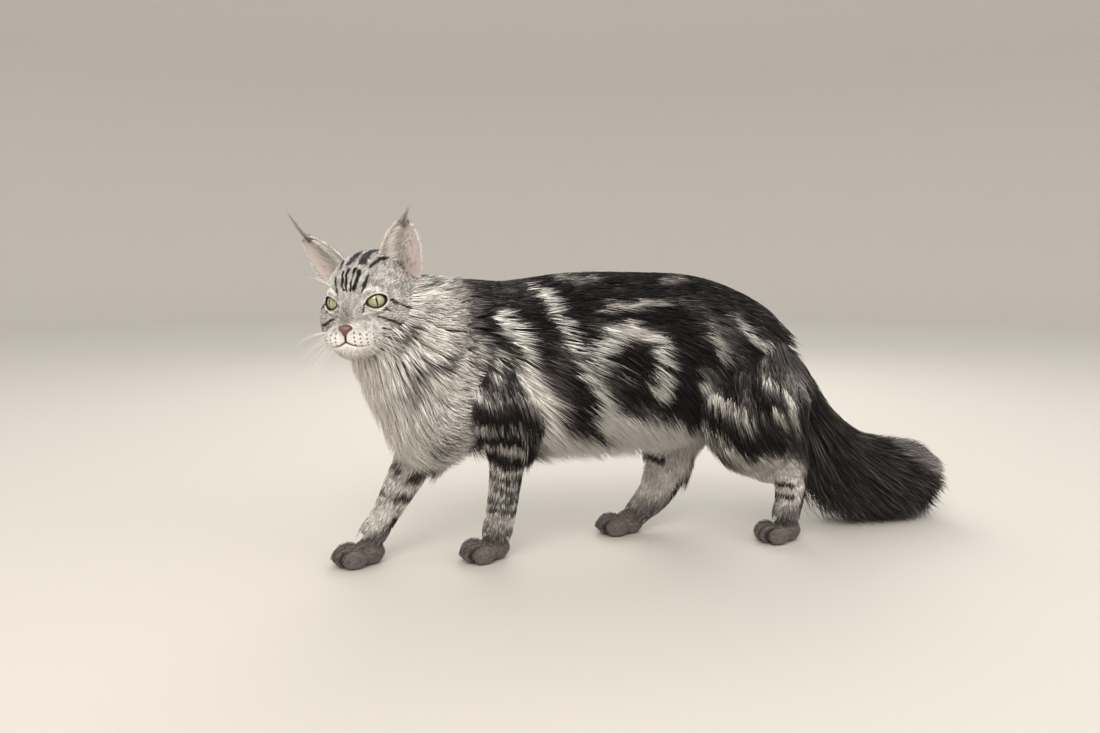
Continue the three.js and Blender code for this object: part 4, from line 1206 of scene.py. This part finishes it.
coat_look = coat_material("coat", 0.75, 0.25)
skin_look = coat_material("short_coat", 0.75, 0.3)
ear_look = material("ear_skin", Roughness=0.6, Base_Color=(0.60, 0.51, 0.49, 1),
                    Subsurface_Weight=0.25, Subsurface_Radius=(0.004, 0.0015, 0.001))
nose_look = painted_material("nose_leather", Roughness=0.42)
whisker_look = material("whisker", Roughness=0.35, Base_Color=(0.88, 0.85, 0.8, 1))

skin.data.materials.clear()
skin.data.materials.append(skin_look)
for ear in ears:
    ear.data.materials.append(ear_look)


# Coat pieces

PIECE_LIMIT = 190000  # triangles to a coat piece

pieces = {}
for piece, *arrays in COAT:
    pieces.setdefault(piece, []).append(arrays)
coat_objects = []
for piece, groups in pieces.items():
    paths, outs, widths, tones, places = (np.concatenate([g[k] for g in groups]) for k in range(5))
    most = PIECE_LIMIT // (6 * paths.shape[1] - 8)  # tufts to a piece, at 10 or 16 triangles each
    for start in range(0, len(paths), most):
        cut = slice(start, start + most)
        made = blade_mesh(paths[cut], outs[cut], widths[cut], tones[cut], places[cut])
        if piece == "coat_paws":
            made = (*made[:2], made[2] * PAW_TINT, made[3])
        obj = mesh_object("%s_%d" % (piece, start // most), *made)
        obj.data.materials.append(coat_look)
        coat_objects.append(obj)


# Eyes, nose and whiskers


def eye(side, name):
    """The eyeball: a ball whose front bulges a little into the cornea, coloured by r, the distance
    from the line it looks along: a slit pupil, a yellow-green iris with a darker rim, and dark past
    r = 0.8."""
    p, f = ball(90, 96)
    look, across, up = eye_axes(side)
    angle = np.arccos(np.clip(p[:, 0], -1, 1))
    bulge = 1 + 0.035 * (1 - smooth(0.2, 0.75, angle))
    h, v = p[:, 1], p[:, 2]
    r = np.hypot(h, v)
    slit = np.sqrt((h / 0.085) ** 2 + (v / 0.52) ** 2)
    about = np.arctan2(v, h)
    streak = 0.5 + 0.5 * np.sin(about * 46 + 2.2 * np.sin(about * 9))
    iris = np.array([0.36, 0.36, 0.20]) * (0.8 + 0.3 * streak * smooth(0.1, 0.6, r))[:, None]
    inner = np.array([0.46, 0.42, 0.24])
    tint = iris + (inner - iris) * (1 - smooth(0.1, 0.4, r))[:, None]
    tint = tint * (1 - 0.75 * smooth(0.62, 0.74, r))[:, None]
    tint = np.where((r > 0.8)[:, None] | (p[:, 0] < 0)[:, None], [0.02, 0.015, 0.012], tint)
    tint = tint * smooth(0.85, 1.1, slit)[:, None]
    axes = np.stack([look, across * side, up])
    place = EYE * [1, side, 1] + (p * bulge[:, None]) @ axes * EYE_RADIUS
    obj = mesh_object("eye_" + name, apply(HEAD_FRAME, place), f, tint)
    eye_look = painted_material("eye_" + name, Roughness=0.12, Coat_Weight=1.0, Coat_Roughness=0.02)
    obj.data.materials.append(eye_look)
    return obj


NOSE_AT = np.array([58.6, 0, -27.5])
NOSE_RADII = np.array([5.4, 10.5, 6.4])


def nose_piece():
    """Nose leather: a ball widened above and narrowed below, pressed in at the nostrils and along the middle,
    with painted shade darkening the nostrils and the middle groove."""
    p, f = ball(48, 64)
    q = p.copy()
    q[:, 1] *= 0.62 + 0.42 * p[:, 2]
    q = q * NOSE_RADII
    m = mirrored(q)
    across, up = (m[:, 1] - 4.6) / 2.0, (m[:, 2] + 1.2 - 0.5 * (m[:, 1] - 4)) / 1.4
    pit = np.exp(-(across**2 + up**2)) * (q[:, 0] > 0)
    line = np.exp(-((m[:, 1] / 0.55) ** 2)) * smooth(1.5, -1.5, q[:, 2]) * (q[:, 0] > 0)
    q[:, 0] -= 3.0 * pit + 0.9 * line
    rim = smooth(0.72, 0.98, np.hypot(p[:, 1], p[:, 2]))
    # The nostril pits and the middle groove are darker as painted shade
    tone = np.clip(1 - 0.9 * pit - 0.5 * line - 0.55 * rim, 0.05, 1)
    tint = np.array([0.165, 0.068, 0.062]) * tone[:, None]
    return mesh_object("nose", apply(HEAD_FRAME, q + NOSE_AT), f, tint)


def strands(roots, directions, lengths, droop, radius):
    """Fine tapered hairs with three sides: each starts along its direction and droops by the square
    of the way along it."""
    spans = 10
    steps = np.linspace(0, 1, spans + 1)
    taper = (radius * (1 - 0.93 * steps))[:, None]
    points, faces = [], []
    for number, (root, way, long) in enumerate(zip(roots, directions, lengths)):
        fall = np.array([0, 0, -1]) * (droop * long * steps**2)[:, None]
        path = root + way * (steps * long)[:, None] + fall
        side = unit(np.cross(way, [0, 0, 1.0]))
        up = np.cross(side, way)
        angles = [k * TURN / 3 for k in range(3)]
        ring = [path + (side * math.cos(a) + up * math.sin(a)) * taper for a in angles]
        points.append(np.stack(ring, 1).reshape(-1, 3))
        base = number * 3 * (spans + 1)
        for low in range(base, base + 3 * spans, 3):
            for k in range(3):
                j = (k + 1) % 3
                faces.append([low + k, low + j, low + 3 + j, low + 3 + k])
        last = base + 3 * spans
        faces += [[base + 2, base + 1, base], [last, last + 1, last + 2]]
    return np.vstack(points), faces


def whiskers():
    """Long white whiskers from the pads, and a few above each eye."""
    roots, ways, lengths = [], [], []
    for side in (1, -1):
        for k in range(4):
            for j in range(4):
                roots.append(whisker_place(k, j) * [1, side, 1] - [1.5, 0, 0])
                way = np.array([-0.12 - 0.16 * j, side * 1.0, 0.02 - 0.24 * k + 0.05 * RNG.standard_normal()])
                ways.append(unit(way + 0.06 * RNG.standard_normal(3)))
                lengths.append(38 + 11 * j + 12 * RNG.random())
        for k in range(3):
            roots.append((33 - 2 * k, side * (20 + 2.5 * k), 14 + k))
            ways.append(unit(np.array([0.5, side * (0.35 + 0.2 * k), 0.8])))
            lengths.append(26 + 6 * k)
    p, f = strands(np.array(roots, float), np.array(ways), np.array(lengths), 0.3, 0.4)
    return mesh_object("whiskers", apply(HEAD_FRAME, p), f)


eyes = [eye(1, "left"), eye(-1, "right")]
nose = nose_piece()
nose.data.materials.append(nose_look)
whisker = whiskers()
whisker.data.materials.append(whisker_look)


# What rides on the frame

# The eyes, ears and nose have pieces of their own, and the skin stands for the rest
FLESH = [name for name in frame["nodes"] if name.split("_")[0] not in ("eye", "ear", "nose")]
for obj in (skin, *coat_objects, *ears, *eyes, nose, whisker):
    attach(obj, "root")
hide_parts(*FLESH)
for obj, name, slot in (
    (ears[0], "ear_left", "ear_skin"),
    (ears[1], "ear_right", "ear_skin"),
    (eyes[0], "eye_left", "eye"),
    (eyes[1], "eye_right", "eye"),
    (nose, "nose", "nose_leather"),
):
    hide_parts(name)


# Floor, light and camera


def backdrop():
    """A round floor 4 m in radius whose edge curves up by a quarter circle of 1.6 m into a wall."""
    around, bend = 96, 1.6
    arc = np.linspace(0, math.pi / 2, 24)
    r = np.concatenate([[0.5, 1.5, 3.0], 4 + bend * np.sin(arc), [4 + bend]])
    z = np.concatenate([[0.0, 0, 0], bend - bend * np.cos(arc), [3.4]])
    turn = np.arange(around) / around * TURN
    ring = np.stack([r[:, None] * np.cos(turn), r[:, None] * np.sin(turn), z[:, None] + 0 * turn], -1)
    points = np.vstack([[0, 0, 0], ring.reshape(-1, 3)]) * 1000 + BOX_MIDDLE
    faces = [[0, 1 + k, 1 + (k + 1) % around] for k in range(around)]
    for a in range(len(r) - 1):
        for k in range(around):
            i, j = 1 + a * around + k, 1 + a * around + (k + 1) % around
            faces.append([i, i + around, j + around, j])
    return mesh_object("floor", points, faces)


floor = backdrop()
floor.data.materials.append(material("floor", Roughness=0.8, Base_Color=(0.52, 0.49, 0.45, 1)))

world = bpy.data.worlds.new("studio")
bpy.context.scene.world = world
world.use_nodes = True
sky = world.node_tree.nodes["Background"]
sky.inputs["Color"].default_value = (0.86, 0.85, 0.83, 1)
sky.inputs["Strength"].default_value = 1.4


def area_light(name, place, aim, size, power, tint):
    """A square soft light aimed at a place."""
    data = bpy.data.lights.new(name, "AREA")
    data.size, data.energy, data.color = size, power, tint
    obj = bpy.data.objects.new(name, data)
    obj.location = place
    obj.rotation_euler = (Vector(aim) - Vector(place)).to_track_quat("-Z", "Y").to_euler()
    bpy.context.scene.collection.objects.link(obj)


area_light("key", (-1.1, -1.9, 2.0), (0, 0, 0.2), 1.6, 58, (1.0, 0.95, 0.88))
area_light("fill", (2.2, -2.0, 1.5), (0, 0, 0.2), 2.0, 26, (0.97, 0.98, 1.0))
area_light("rim", (0.4, 1.5, 1.3), (0, 0, 0.25), 1.2, 14, (1.0, 0.96, 0.9))

# The photograph's own view: place in the working frame, level heading and downward pitch
CAMERA_AT = np.array([-315.7, -1024.1, 366.0])
CAMERA_HEADING = np.array([0.2731, 0.962])
CAMERA_PITCH = math.radians(7.376)
FOCAL_PIXELS, PHOTO_WIDTH_PIXELS, SENSOR_WIDTH = 900, 1100, 36

camera_data = bpy.data.cameras.new("camera")
camera_data.lens = SENSOR_WIDTH * FOCAL_PIXELS / PHOTO_WIDTH_PIXELS
camera_data.clip_start = 0.01
camera = bpy.data.objects.new("camera", camera_data)
camera.location = (CAMERA_AT - BOX_MIDDLE) / 1000
look = Vector((*(CAMERA_HEADING * math.cos(CAMERA_PITCH)), -math.sin(CAMERA_PITCH)))
camera.rotation_euler = look.to_track_quat("-Z", "Y").to_euler()
bpy.context.scene.collection.objects.link(camera)
bpy.context.scene.camera = camera
bpy.context.scene.view_settings.view_transform = "Standard"
